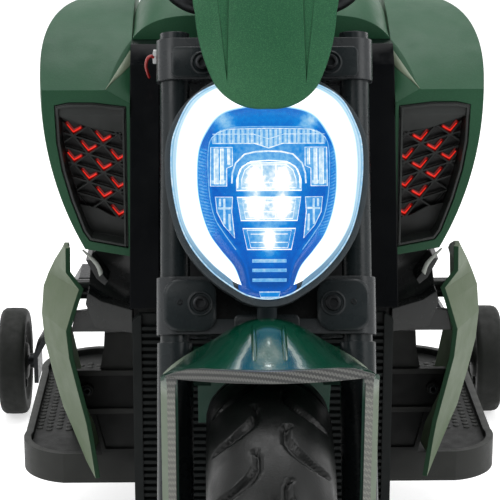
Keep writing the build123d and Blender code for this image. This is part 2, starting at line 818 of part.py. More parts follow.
def lattice():
    """The bars, trimmed to the lit window of the intake."""
    bars = []
    reach = 5
    for step in range(-4, 5):
        bars.append(strip(lattice_point(-reach, step), lattice_point(reach, step), bar_width))
        bars.append(strip(lattice_point(step, -reach), lattice_point(step, reach), bar_width))
        bars.append(strip(lattice_point(step - reach, -reach), lattice_point(step + reach, reach), bar_width))
    window = make_face(Polyline(*window_outline, close=True))
    trimmed = [bar & window for bar in bars]
    solid_bars = [piece for piece in trimmed if piece is not None and piece.area > 3]
    flat = solid_bars[0] + solid_bars[1:]
    return Pos(0, lattice_y + bar_depth, 0) * extrude(Plane.XZ * flat, amount=bar_depth)


def intake_visor(inside):
    """Plate across the top of the intake that slopes back from the lip to the lattice."""
    wedge = side_plate(
        [(shroud_face_y - 1, 500), (lattice_y + bar_depth, 500), (lattice_y + bar_depth, 460),
         (lattice_y - 2, 460), (shroud_face_y - 1, 488)],
        shroud_inner, shroud_inner + 72,
    )
    swept = front_plate(
        [(shroud_inner + x, z) for x, z in (
            (0, 500), (72, 500), (72, 488), (66, 486), (49.5, 479.7), (33.5, 472.8), (12.5, 468.4),
            (0, 467.5))],
        shroud_face_y - 2, lattice_y + bar_depth,
    )
    return wedge & swept & inside


def intake_grille():
    """Raised lip with a groove round it, lattice, blank lower panel, visor plate and closed back."""
    fit = 0.2
    groove, groove_depth = 1.5, 3.0
    lip_width, lip_out = 3.4, 2.0
    back_y = shroud_face_y + lattice_depth + 10
    frame = intake_block(fit, shroud_face_y + groove_depth, back_y)
    frame += intake_block(fit + groove, shroud_face_y - lip_out, back_y - 2)
    frame -= intake_block(fit + lip_width, shroud_face_y - lip_out - 1, back_y - 2)
    inside = intake_block(fit + 0.5, shroud_face_y + 0.5, back_y)
    blank_outline = [(0, 360), (70, 360), (70, 408), (48, 404), (30, 400), (14, 391), (0, 388)]
    blank = front_plate([(shroud_inner + x, z) for x, z in blank_outline], lattice_y, lattice_y + 2)
    return frame + (blank & inside) + intake_visor(inside) + lattice()


def chevrons():
    """V-shaped lights on the intake's back, one above each lit crossing."""
    outline = [(7.9, 9.4), (0.2, 1.0), (-7.4, 5.2), (-6.0, 7.8), (0.0, 4.8), (5.4, 11.6)]
    lit_nodes = [(-2, 0), (-1, 1), (-1, 0), (0, 0), (0, -1), (1, -1), (0, 1), (1, 0), (2, -1), (-1, -1)]
    front_y = shroud_face_y + lattice_depth + 6
    window = offset(make_face(Polyline(*window_outline, close=True)), amount=-1.5)
    lights = []
    for i, j in lit_nodes:
        x, z = lattice_point(i, j)
        shape = make_face(Polyline(*[(x + out, z + up) for out, up in outline], close=True)) & window
        largest = shape.faces().sort_by(SortBy.AREA)[-1]
        lights.append(Pos(0, front_y + 2, 0) * extrude(Plane.XZ * largest, amount=2.0))
    return lights


keep_pair("intake_grille", intake_grille())
left_lights = chevrons()
keep("intake_lights", Compound(children=left_lights + [light.mirror(Plane.YZ) for light in left_lights]))

# Tank cover between the shrouds
def arch_section(y, half, base, shoulder, top):
    """Arch across the bike at one y, upright at its sides and round over its shoulders."""
    rise = top - shoulder
    near_top, near_side = shoulder + 0.95 * rise, shoulder + 0.62 * rise
    crown = Spline((half, shoulder), (half * 0.86, near_side), (half * 0.4, near_top), (0, top),
                   (-half * 0.4, near_top), (-half * 0.86, near_side), (-half, shoulder))
    edges = [crown, Line((-half, shoulder), (-half, base)), Line((-half, base), (half, base)),
             Line((half, base), (half, shoulder))]
    return Pos(0, y, 0) * (Plane.XZ * make_face(edges))


def tank():
    """Rounded cover with a filler cap, shaped to the neck in front and to the seat behind."""
    body = loft(
        [
            arch_section(-134, tank_half_width, 400, 541, 560),
            arch_section(-100, tank_half_width, 400, 548, 584),
            arch_section(-40, tank_half_width, 400, 545, tank_top_z),
            arch_section(8, tank_half_width - 8, 400, 500, 560),
            arch_section(46, tank_half_width - 24, 400, 425, 462),
        ]
    )
    outline = side_plate(
        [(-132, neck_top), (-132, 620), (seat_front_y + 8, 620), (seat_front_y + 8, 438),
         (seat_front_y - 1, 436), (seat_front_y - 5, 420), (-34, neck_top)],
        -tank_half_width, tank_half_width,
    )
    cap = Pos(0, -58, tank_top_z - 12) * (Cylinder(25, 32) + Pos(0, 0, 18) * Cylinder(19, 6))
    return (body & outline) + cap


keep("tank_cover", tank())

# Seat, tail and rear lamp
def seat():
    """Saddle of rounded sections, narrow at the tank and raised against the tail."""
    base = seat_base_z - 10
    body = loft(
        [
            arch_section(seat_front_y, 68, base, 408, 430),
            arch_section(90, 84, base, 394, 412),
            arch_section(seat_rear_y - 130, seat_half_width, base, 392, 409),
            arch_section(seat_rear_y - 42, seat_half_width - 2, base, 402, 421),
            arch_section(seat_rear_y + 32, 78, base, 420, 442),
        ]
    )
    outline = side_plate(
        [(seat_front_y + 1, seat_base_z), tail_ramp[0], (seat_rear_y + 30.6, seat_base_z + 40.8),
         (seat_rear_y + 15, 440), (seat_rear_y + 15, 480), (seat_front_y + 1, 480)],
        -seat_half_width - 4, seat_half_width + 4,
    )
    return body & outline


keep("seat", seat())
tail_bevel = 6.0
tail_block = side_plate(
    [(seat_rear_y + 32.4, seat_base_z + 43.2), tail_ramp[1], (tail_y, 452), (tail_y + 14, 470),
     (tail_y - 40, 486), (seat_rear_y + 18, 442)],
    -84, 84,
)
tail_plan = extrude(
    make_face(
        Polyline((-78, seat_rear_y - 20), (78, seat_rear_y - 20), (84, seat_rear_y + 40), (58, tail_y + 18),
                 (-58, tail_y + 18), (-84, seat_rear_y + 40), close=True)
    ),
    amount=600,
)
tail = tail_block & tail_plan
tail_top_edges = tail.edges().filter_by(lambda edge: edge.center().Z > tail_ramp[0][1] + 74)
keep("tail_cowl", chamfer(tail_top_edges, tail_bevel))
keep("tail_light", front_plate([(-48, 430), (48, 430), (54, 450), (-54, 450)], tail_y, tail_y + 12))

# Rear fender with its blank plate
rear_gap = 15.0
hugger_inner = rear_wheel_radius + rear_gap
hugger_half = rear_tyre_width / 2 + 8
hugger_ring = turned(
    make_face(
        Polyline((-hugger_half, hugger_inner), (hugger_half, hugger_inner),
                 (hugger_half, hugger_inner + wall), (-hugger_half, hugger_inner + wall), close=True)
    ),
    rear_axle_y, rear_axle_z,
)
hugger_wedge = side_plate(
    [(rear_axle_y, rear_axle_z), (rear_axle_y - 102, 420), (rear_axle_y + 268, 420),
     (rear_axle_y + 268, 230)],
    -hugger_half - 1, hugger_half + 1,
)
plate_y = rear_axle_y + 185
hanger_y = rear_axle_y - 19
hanger_length = 18.0
hanger = side_plate(
    [(hanger_y, 312), (hanger_y + hanger_length, 312),
     (hanger_y + hanger_length, tail_underside(hanger_y + hanger_length)),
     (hanger_y, tail_underside(hanger_y))],
    -30, 30,
)
keep("rear_fender", (hugger_ring & hugger_wedge) + hanger)
holder_from, holder_to = tail_y - 38, tail_y - 6
keep(
    "plate_holder",
    side_plate(
        [(holder_from, tail_underside(holder_from)), (holder_to, tail_underside(holder_to)),
         (tail_y + 26, 424), (plate_y - 6, 402), (plate_y, 392), (plate_y, 306), (plate_y - 4, 306),
         (plate_y - 10, 388), (tail_y + 24, 404), (holder_from + 4, 386)],
        -26, 26,
    ),
)
plate_hole_r = 2.2
plate_hole_spacing = 80.0
number_plate = front_plate([(-60, 318), (60, 318), (60, 398), (-60, 398)], plate_y, plate_y + 3)
for side in (-1, 1):
    number_plate -= rod((side * plate_hole_spacing / 2, plate_y - 5, 380),
                        (side * plate_hole_spacing / 2, plate_y + 8, 380), plate_hole_r)
keep("number_plate", number_plate)


# Rear axle, arms and gearbox
def swing_arm():
    """Box-section arm from the belly's rear face to the axle."""
    arm_inner, arm_outer = rear_tyre_width / 2 + 7, chassis_half_width - 0.5
    arm = side_plate(
        [(belly_rear_y, 138), (belly_rear_y, 216), (rear_axle_y - 112, 196), (rear_axle_y + 8, 176),
         (rear_axle_y + 26, 160), (rear_axle_y + 26, 140), (rear_axle_y + 8, 124),
         (rear_axle_y - 112, 126)],
        arm_inner, arm_outer,
    )
    return arm - rod((40, rear_axle_y, rear_axle_z), (150, rear_axle_y, rear_axle_z), axle_radius)


keep_pair("swing_arm", swing_arm())
rear_axle_half = chassis_half_width + 40
keep(
    "rear_axle",
    rod((-rear_axle_half, rear_axle_y, rear_axle_z), (rear_axle_half, rear_axle_y, rear_axle_z), axle_radius),
)
gear_motor = Pos(chassis_half_width + 16, rear_axle_y - 38, rear_axle_z) * Box(32, 118, 82)
gear_motor -= rod((60, rear_axle_y, rear_axle_z), (150, rear_axle_y, rear_axle_z), axle_radius)
keep("gear_motor", gear_motor)


def training_bracket():
    """Bent steel strip from the rear axle over to the training wheel, with its bolt."""
    thick = 5.0
    strap_from, strap_to = rear_axle_y - 14, training_axle_y + 16
    flange_x = chassis_half_width + 33
    leg_x = training_track / 2 - training_wheel_width / 2 - 9
    top = 180.0
    strip_outline = [
        (flange_x, 132), (flange_x + thick, 132), (flange_x + thick, top - thick),
        (leg_x - 59, top - thick), (leg_x - thick, 82), (leg_x - thick, 50), (leg_x, 50),
        (leg_x, 85), (leg_x - 56, top), (flange_x, top),
    ]
    strap = front_plate(strip_outline, strap_from, strap_to)
    strap -= rod((100, rear_axle_y, rear_axle_z), (150, rear_axle_y, rear_axle_z), axle_radius)
    bolt = rod((leg_x - thick, training_axle_y, training_wheel_radius),
               (training_track / 2 + 24, training_axle_y, training_wheel_radius), training_bolt_radius)
    head = rod((training_track / 2 + training_wheel_width / 2 + 1, training_axle_y, training_wheel_radius),
               (training_track / 2 + training_wheel_width / 2 + 8, training_axle_y, training_wheel_radius), 9)
    spacer = rod((leg_x, training_axle_y, training_wheel_radius),
                 (leg_x + 8, training_axle_y, training_wheel_radius), 9)
    return strap + bolt + head + spacer


keep_pair("training_bracket", training_bracket())


# Footboards with their kick panels
def footboard():
    """Rimmed tray with rounded outer corners and a riser at its front."""
    front_y, rear_y = -112.0, 205.0
    thick, rim_height, rim_width = 8.0, footboard_rim, 7.0
    inner = chassis_half_width
    outer = footboard_half_width
    plan = make_face(
        [
            Line((inner, front_y), (outer - 40, front_y)),
            ThreePointArc((outer - 40, front_y), (outer - 10, front_y + 18), (outer, front_y + 60)),
            Line((outer, front_y + 60), (outer, rear_y - 80)),
            ThreePointArc((outer, rear_y - 80), (outer - 15, rear_y - 22), (outer - 54, rear_y)),
            Line((outer - 54, rear_y), (inner, rear_y)),
            Line((inner, rear_y), (inner, front_y)),
        ]
    )
    tray = Pos(0, 0, footboard_z - thick) * extrude(plan, amount=thick)
    rim_plan = plan - offset(plan, amount=-rim_width)
    rim_wall = Pos(0, 0, footboard_z) * extrude(rim_plan, amount=rim_height)
    riser = front_plate([(inner, footboard_z), (146, footboard_z), (154, 177), (167, 208), (172, 229),
                         (148, 229), (144, 250), (143, 266), (inner, 266)], front_y, front_y + 6)
    recess_outline = [(111, 152), (144, 152), (150, 176), (152, 186), (111, 186)]
    riser -= front_plate(recess_outline, front_y - 1, front_y + 3)
    riser += front_plate([(114, 188), (158, 188), (160, 193), (114, 193)], front_y - 3, front_y + 1)
    riser += front_plate([(inner, 226), (170, 226), (171, 231), (inner, 231)], front_y - 5, front_y + 1)
    riser += rod((160, front_y - 4, 211), (160, front_y + 1, 211), 6)
    skirt = Pos(0, 0, footboard_z - thick - 14) * extrude(plan - offset(plan, amount=-4), amount=14)
    return tray + rim_wall + riser + skirt


keep_pair("footboard", footboard())
keep(
    "accelerator_pedal",
    side_plate([(-30, footboard_z), (32, footboard_z), (-30, 172)], -182, -146),
)


# Side panels under the shrouds, engine covers and green blades
def side_panel():
    """Black duct between the pillar, the shroud and the blade, with a lip below and a fin above."""
    front_y, rear_y = -172.0, -46.0
    inner, pillar_side = chassis_half_width, shroud_inner + 1
    block = front_plate(
        [(inner, 290), (148, 290), (153, 312), (151, 346), (146, 358), (pillar_side, 358), (pillar_side, 331),
         (inner, 331)],
        front_y, rear_y,
    )
    scoop = rod((pillar_side - 30, front_y - 26, 322), (175, front_y - 12, 372), 34)
    lip = front_plate(
        [(pillar_side, 291), (146, 296), (154, 318), (152, 328), (140, 320), (pillar_side, 312)],
        front_y - 18, front_y + 8,
    )
    fin_outline = [(153, 357), (149, 357), (134, 338), (137, 334), (144, 340)]
    fin = front_plate(fin_outline, front_y - 16, front_y + 20)
    apron = front_plate(
        [(inner, 286.5), (168.5, 286.5), (164.5, 305), (154, 306.5), (148, 312), (inner, 312)],
        front_y, front_y + 5,
    )
    recess = rod((131.5, front_y - 1, 301), (131.5, front_y + 3, 301), 8.5)
    boss = rod((131.5, front_y - 0.5, 301), (131.5, front_y + 4, 301), 5.0)
    return block - scoop + lip + fin + apron - recess + boss


def twin_cover():
    """Moulded engine: crankcase with a round cover, and two leaning finned cylinders."""
    low = footboard_z + 10
    inner, outer = chassis_half_width, chassis_half_width + 52
    case_outline = [(-100, low), (-100, 232), (-60, 246), (120, 246), (150, 232), (160, low)]
    case = side_plate(case_outline, inner, outer)
    case = chamfer(case.faces().sort_by(Axis.X)[-1].edges(), 7)
    case += rod((outer - 8, 26, 200), (outer + 5, 26, 200), 36)
    case += rod((outer, 26, 200), (outer + 8, 26, 200), 27)
    case += rod((outer - 8, 104, 196), (outer + 4, 104, 196), 21)
    cylinder_foot = (26, 214)
    fin_count, fin_pitch, fin_thick = 5, 9.0, 4.0
    for lean in (-32, 32):
        leaning = Rot(lean, 0, 0)
        core = Pos(inner + 20, *cylinder_foot) * leaning * Pos(0, 0, 40) * Box(40, 44, 84)
        fins = [
            Pos(inner + 23, *cylinder_foot) * leaning * Pos(0, 0, 38 + step * fin_pitch)
            * Box(46, 58, fin_thick)
            for step in range(fin_count)
        ]
        case += [core] + fins
    envelope = side_plate([(-100, low), (-100, 288), (150, 288), (160, low)], inner, outer + 9)
    return case & envelope


engine_cover = twin_cover()
keep_pair("engine_cover", engine_cover)


def blade_section(z, lead, bulge, trail):
    """Folded plate at one height through its leading edge, fold and trailing edge, given as (x, y)."""
    skin = 4.0
    outer = [lead, bulge, trail]
    inner = [(trail[0] - skin, trail[1]), (bulge[0] - skin, bulge[1] + 1), (lead[0] - skin, lead[1] + 2)]
    return Pos(0, 0, z) * make_face(Polyline(*outer, *inner, close=True))


def blade():
    """Side blade through sections from its foot on the footboard to its pointed tip."""
    sections = [
        blade_section(footboard_z + footboard_rim, (150, -172), (161, -130), (154, -56)),
        blade_section(180, (154, -174), (173, -130), (166, -44)),
        blade_section(201, (157, -175), (181, -130), (174, -34)),
        blade_section(233, (164, -177), (189.5, -128), (182, -22)),
        blade_section(264, (170.5, -179), (196.5, -126), (189, -12)),
        blade_section(290, (172.5, -181), (198.5, -126), (190, -10)),
        blade_section(316, (164.5, -183), (196, -127), (187, -26)),
        blade_section(329, (160, -184), (191, -129), (182, -52)),
        blade_section(345, (171, -185), (184, -144), (178, -96)),
        blade_section(367, (170.5, -186), (173, -176), (173, -166)),
    ]
    return loft(sections, ruled=True)


side_blade = blade()
keep_pair("side_blade", side_blade)
blade_lug = rod((150, -112, 308), (196, -112, 308), 9) - side_blade
blade_lug = blade_lug.solids().sort_by(Axis.X)[0]
keep_pair("side_panel", side_panel() + blade_lug)


# Exhaust, worked out on the +X side and mirrored to the rider's right
def exhaust():
    """Two stacked silencers with open ends, held by a header block and a bridge."""
    can_radius, can_bore, can_length = 23.0, 17.0, 158.0
    low_z, pitch, rise = 206.0, 50.0, 5.0
    can_profile = make_face(
        Polyline((0, 0), (can_radius, 0), (can_radius, can_length), (can_bore, can_length),
                 (can_bore, 8), (0, 8), close=True)
    )
    can = revolve(Plane.XZ * can_profile, axis=Axis.Z)
    cans = [
        Pos(chassis_half_width + 29, 172, low_z + step * pitch) * Rot(-90 + rise, 0, 0) * can
        for step in range(2)
    ]
    inner = chassis_half_width + 16
    header = side_plate([(148, 196), (178, 196), (178, 266), (148, 266)], inner, inner + 24) - engine_cover
    bridge = side_plate([(212, 222), (236, 222), (236, 244), (212, 244)], inner + 8, inner + 18)
    return header + cans + [bridge - cans[0] - cans[1]]


keep("exhaust", exhaust().mirror(Plane.YZ))

for name in list(pieces):
    export_step(pieces[name], "parts/" + name + ".step")
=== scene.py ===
"""Looks of a child's ride-on motorcycle in power cruiser style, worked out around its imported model."""
from math import cos, pi, radians, sin

import bmesh
import bpy
import numpy as np
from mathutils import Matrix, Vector


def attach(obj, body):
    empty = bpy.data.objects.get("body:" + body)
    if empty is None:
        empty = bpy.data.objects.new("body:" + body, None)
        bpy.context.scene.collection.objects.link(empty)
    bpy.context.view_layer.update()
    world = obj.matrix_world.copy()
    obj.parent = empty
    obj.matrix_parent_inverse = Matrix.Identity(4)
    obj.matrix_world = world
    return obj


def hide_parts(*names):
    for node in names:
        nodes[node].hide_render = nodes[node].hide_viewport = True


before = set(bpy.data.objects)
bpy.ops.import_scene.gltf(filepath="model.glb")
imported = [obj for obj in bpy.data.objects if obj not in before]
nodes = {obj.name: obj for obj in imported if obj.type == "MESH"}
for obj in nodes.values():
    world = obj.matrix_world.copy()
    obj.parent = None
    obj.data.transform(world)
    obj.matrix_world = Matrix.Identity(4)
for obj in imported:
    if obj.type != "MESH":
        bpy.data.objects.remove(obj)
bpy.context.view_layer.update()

MM = 0.001
SIDES = (-1, 1)
AHEAD = (0, -1.0, 0)
WHITE = (1.0, 1.0, 1.0)

# Camera of the photograph
CAMERA_PLACE = (-0.0386, -1.782, 0.812)
CAMERA_LENS = 137.6
CAMERA_SENSOR = 36.0
CAMERA_REACH = 60.0
CAMERA_DOWN = radians(15.65)
CAMERA_PAN = radians(1.0)

# Places that the model also has
RAKE = radians(22.6)
FRONT_AXLE = np.array([0.0, -400.0, 160.0])
REAR_AXLE = np.array([0.0, 372.0, 150.0])
TRAINING_AXLE = np.array([282.0, 400.0, 64.0])
FORK_OFFSET = 38.0
LIGHT_CENTRE = np.array([0.0, -335.0, 455.0])
LIGHT_TILT = radians(20.0)

# Frames: the steering's, and the headlight's
RAKE_COS, RAKE_SIN, TILT_COS, TILT_SIN = cos(RAKE), sin(RAKE), cos(LIGHT_TILT), sin(LIGHT_TILT)
STEER_ORIGIN = FRONT_AXLE + FORK_OFFSET * np.array([0.0, RAKE_COS, -RAKE_SIN])
STEER_AXES = np.array([[1, 0, 0], [0, RAKE_COS, -RAKE_SIN], [0, RAKE_SIN, RAKE_COS]])
LIGHT_AXES = np.array([[1, 0, 0], [0, TILT_SIN, TILT_COS], [0, -TILT_COS, TILT_SIN]])


def floats(values):
    """Values as an array of floats."""
    return np.asarray(values, float)


def steered(points):
    """Points of the steering frame, in mm, in the bike's frame: origin plus x, y and z times its axes."""
    return STEER_ORIGIN + floats(points) @ STEER_AXES


def on_light(points):
    """Points of the headlight's frame (across, up the face, out of it) in the bike's frame."""
    return LIGHT_CENTRE + floats(points) @ LIGHT_AXES


# Mesh making
def grid_quads(rows, cols, wrap_rows=False, wrap_cols=False, start=0):
    """Quads between neighbouring rows and columns of a grid of points, joined end to start where it wraps."""
    last_row = rows if wrap_rows else rows - 1
    last_col = cols if wrap_cols else cols - 1
    i, j = np.meshgrid(np.arange(last_row), np.arange(last_col), indexing="ij")
    i_next, j_next = (i + 1) % rows, (j + 1) % cols
    quads = np.stack([i * cols + j, i_next * cols + j, i_next * cols + j_next, i * cols + j_next], -1)
    return start + quads.reshape(-1, 4)


def capped(rows, cols):
    """Faces of a tube given as rows of points: its wall and a cap at each end."""
    caps = [list(range(cols))[::-1], list(range((rows - 1) * cols, rows * cols))]
    return grid_quads(rows, cols, False, True).tolist() + caps


def listed(faces):
    """Faces as plain lists."""
    return faces.tolist() if isinstance(faces, np.ndarray) else faces


def joined(parts):
    """Several (points, faces) as one: each one's faces count on from the points before it."""
    points, faces, start = [], [], 0
    for part_points, part_faces in parts:
        points.append(floats(part_points).reshape(-1, 3))
        faces += [[start + k for k in face] for face in listed(part_faces)]
        start += len(points[-1])
    return np.concatenate(points), faces


def mirrored_pair(points, faces):
    """A shape and its mirror image across the bike's middle plane."""
    return joined([(points, faces), (floats(points) * [-1, 1, 1], [list(face)[::-1] for face in faces])])


def placed(name, data):
    """A new object in the scene."""
    made = bpy.data.objects.new(name, data)
    bpy.context.scene.collection.objects.link(made)
    return made


def aimed(made, place, way):
    """Puts a lamp or camera at a place, looking along a way."""
    made.location = place
    made.rotation_mode = "QUATERNION"
    made.rotation_quaternion = Vector(way).to_track_quat("-Z", "Y")
    return made


SAME_SPOT, NO_LENGTH = 1e-6, 1e-7    # metres


def piece(name, shape, material, body, sharp=None, replaces=(), marks=None):
    """Puts (points in mm, faces) into a mesh in metres that rides on a body, its faces turned outwards."""
    points, faces = shape
    mesh = bpy.data.meshes.new(name)
    mesh.from_pydata((floats(points).reshape(-1, 3) * MM).tolist(), [], listed(faces))
    for key, values in (marks or {}).items():
        mesh.attributes.new(key, "FLOAT", "POINT").data.foreach_set("value", floats(values).ravel())
    grown = bmesh.new()
    grown.from_mesh(mesh)
    bmesh.ops.remove_doubles(grown, verts=grown.verts, dist=SAME_SPOT)
    bmesh.ops.dissolve_degenerate(grown, edges=grown.edges, dist=NO_LENGTH)
    bmesh.ops.recalc_face_normals(grown, faces=grown.faces)
    grown.to_mesh(mesh)
    grown.free()
    mesh.polygons.foreach_set("use_smooth", np.full(len(mesh.polygons), True))
    if sharp is not None:
        mesh.set_sharp_from_angle(angle=radians(sharp))
    mesh.materials.append(material)
    made = placed(name, mesh)
    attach(made, body)
    if replaces:
        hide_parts(*replaces)


def slab(top, under):
    """Closed shell between two grids of points: both sheets and a strip round their edges."""
    rows, cols = top.shape[:2]
    count = rows * cols
    across, down = np.arange(cols - 1), np.arange(rows - 1)
    edge = np.concatenate([across, down * cols + cols - 1, count - 1 - across, (rows - 1 - down) * cols])
    after = np.roll(edge, -1)
    rim = np.stack([edge, after, after + count, edge + count], -1)
    quads = np.concatenate([grid_quads(rows, cols), grid_quads(rows, cols, start=count)[:, ::-1], rim])
    return np.concatenate([top.reshape(-1, 3), under.reshape(-1, 3)]), quads


def square_to(axis, first, second):
    """The axis at length 1 and two ways square to it, the first way from a world axis that it isn't near."""
    axis = floats(axis) / np.linalg.norm(axis)
    world = np.eye(3)
    side = np.cross(axis, world[first if abs(axis[first]) < 0.9 else second])
    side /= np.linalg.norm(side)
    return axis, side, np.cross(axis, side)


def turned(count):
    """Even angles round a circle."""
    return np.linspace(0, 2 * pi, count, endpoint=False)


def spun(profile, centre, axis, turns=48):
    """Turns a closed profile of (along, radius) round an axis: radius times cosine and sine of the angle."""
    profile = floats(profile)
    axis, side, other = square_to(axis, 2, 0)
    angle = turned(turns)[:, None, None]
    out = np.cos(angle) * side + np.sin(angle) * other
    points = floats(centre) + profile[None, :, :1] * axis + profile[None, :, 1:] * out
    return points.reshape(-1, 3), grid_quads(turns, len(profile), True, True)


def carried(outline, path, up, closed=False):
    """Carries a closed outline of (sideways, up) along a path of points, square to the path all the way."""
    outline, path = floats(outline), floats(path)
    way = np.roll(path, -1, 0) - np.roll(path, 1, 0) if closed else np.gradient(path, axis=0)
    way /= np.linalg.norm(way, axis=1)[:, None]
    side = np.cross(way, floats(up))
    side /= np.linalg.norm(side, axis=1)[:, None]
    lift = np.cross(side, way)
    points = path[:, None] + outline[None, :, :1] * side[:, None] + outline[None, :, 1:] * lift[:, None]
    rows, cols = points.shape[:2]
    return points.reshape(-1, 3), grid_quads(rows, cols, True, True) if closed else capped(rows, cols)


def ring_of(radius, count):
    """Circle of points about the origin of an outline."""
    angle = turned(count)
    return np.stack([radius * np.cos(angle), radius * np.sin(angle)], -1)


def smooth_line(points, count, closed=False):
    """Even points along a smooth curve through the given ones: cubic Hermite with central slopes."""
    points = floats(points)
    if closed:
        points = np.concatenate([points[-1:], points, points[:2]])
    else:
        points = np.concatenate([2 * points[:1] - points[1:2], points, 2 * points[-1:] - points[-2:-1]])
    spans = len(points) - 3
    t = np.linspace(0, spans, count, endpoint=not closed)
    k = np.minimum(t.astype(int), spans - 1)
    s = (t - k)[:, None]
    before, start, end, after = points[k], points[k + 1], points[k + 2], points[k + 3]
    out, back = (end - before) / 2, (after - start) / 2
    return (
        (2 * s ** 3 - 3 * s ** 2 + 1) * start + (s ** 3 - 2 * s ** 2 + s) * out
        + (3 * s ** 2 - 2 * s ** 3) * end + (s ** 3 - s ** 2) * back
    )


def step_up(x, low, high):
    """Smooth step: 0 below low, 1 above high, and 3s squared less 2s cubed between."""
    s = np.clip((floats(x) - low) / (high - low), 0, 1)
    return s * s * (3 - 2 * s)


def bell(x, width):
    """Bell curve: e to the power of minus x over width, squared."""
    return np.exp(-(x / width) ** 2)


def bolt(centre, axis, radius, height, socket):
    """Socket-head screw: a turned head with a rounded rim whose socket is a six-sided well."""
    turns = 36
    angle, whole = turned(turns), np.ones(turns)
    six = socket / np.cos((angle + pi / 6) % (pi / 3) - pi / 6)
    rings = [
        (0.0, radius * whole), (height - 0.9, radius * whole), (height - 0.25, (radius - 0.3) * whole),
        (height, (radius - 0.9) * whole), (height, six + 0.35), (height - 0.3, six), (height - 2.4, six),
        (height - 2.6, six * 0.2),
    ]
    axis, side, other = square_to(axis, 0, 2)
    out = np.cos(angle)[:, None] * side + np.sin(angle)[:, None] * other
    points = np.concatenate([floats(centre) + z * axis + r[:, None] * out for z, r in rings])
    return points, capped(len(rings), turns)


# Finishes
class Graph:
    """A node tree with short calls that add nodes and wires."""

    def __init__(self, tree):
        self.tree = tree

    def add(self, kind, **values):
        made = self.tree.nodes.new("ShaderNode" + kind)
        for key, value in values.items():
            if key in made.inputs:
                made.inputs[key].default_value = value
            else:
                setattr(made, key, value)
        return made

    def put(self, value, socket):
        """Wires a node's output to a socket, or gives the socket a number or a colour."""
        if hasattr(value, "is_linked"):
            self.tree.links.new(value, socket)
        else:
            socket.default_value = (*value, 1.0) if isinstance(value, tuple) else value

    def math(self, operation, *values, clamp=False):
        made = self.add("Math", operation=operation, use_clamp=clamp)
        for value, socket in zip(values, made.inputs):
            self.put(value, socket)
        return made.outputs[0]

    def times(self, a, b, clamp=False):
        return self.math("MULTIPLY", a, b, clamp=clamp)

    def plus(self, a, b):
        return self.math("ADD", a, b)

    def split(self, vector=None):
        """X, Y and Z of a vector, or else of the object's own coordinates."""
        made = self.add("SeparateXYZ")
        self.put(vector or self.place(), made.inputs[0])
        return made.outputs

    def place(self):
        """Object coordinates."""
        return self.add("TexCoord").outputs["Object"]


class Finish(Graph):
    """A material's nodes."""

    def __init__(self, name):
        self.material = bpy.data.materials.new(name)
        self.material.use_nodes = True
        super().__init__(self.material.node_tree)
        self.shader = self.tree.nodes["Principled BSDF"]

    def set(self, **values):
        """Gives the shader its numbers, colours and wires."""
        for key, value in values.items():
            self.put(value, self.shader.inputs[key.replace("_", " ")])
        return self.material

    def noise(self, scale, detail=3.0):
        made = self.add("TexNoise", Scale=scale, Detail=detail)
        self.put(self.place(), made.inputs["Vector"])
        return made.outputs["Fac"]

    def uneven(self, scale, detail, low, high, spread=0.2):
        """Noise about its middle, stretched from low to high."""
        return self.range(self.noise(scale, detail), 0.5 - spread, 0.5 + spread, low, high)

    def cells(self, scale, feature="F1", output="Distance"):
        made = self.add("TexVoronoi", Scale=scale, feature=feature)
        self.put(self.place(), made.inputs["Vector"])
        return made.outputs[output]

    def ramp(self, value, stops):
        """Colours, or levels of grey, between stops."""
        made = self.add("ValToRGB")
        element = made.color_ramp.elements
        while len(element) < len(stops):
            element.new(0.5)
        for k, (at, colour) in enumerate(stops):
            element[k].position = at
            element[k].color = (*(colour if isinstance(colour, tuple) else (colour,) * 3), 1.0)
        self.put(value, made.inputs["Fac"])
        return made.outputs["Color"]

    def mix(self, share, a, b):
        made = self.add("Mix", data_type="RGBA")
        for value, socket in ((share, 0), (a, 6), (b, 7)):
            self.put(value, made.inputs[socket])
        return made.outputs[2]

    def range(self, value, low, high, to_low, to_high):
        made = self.add("MapRange")
        for key, number in enumerate((value, low, high, to_low, to_high)):
            self.put(number, made.inputs[key])
        return made.outputs["Result"]

    def eased(self, radius):
        """Normal that rounds the hard edges by a small radius, as moulded plastic has."""
        return self.add("Bevel", Radius=radius, samples=4).outputs["Normal"]

    def shape(self, output):
        """The mesh's own measures, such as its normal."""
        return self.add("NewGeometry").outputs[output]

    def mark(self, name):
        """A number kept on the mesh's points."""
        return self.add("Attribute", attribute_name=name).outputs["Fac"]

    def bump(self, height, depth, strength, under=None):
        made = self.add("Bump", Strength=strength, Distance=depth)
        self.put(height, made.inputs["Height"])
        if under is not None:
            self.put(under, made.inputs["Normal"])
        return made.outputs["Normal"]


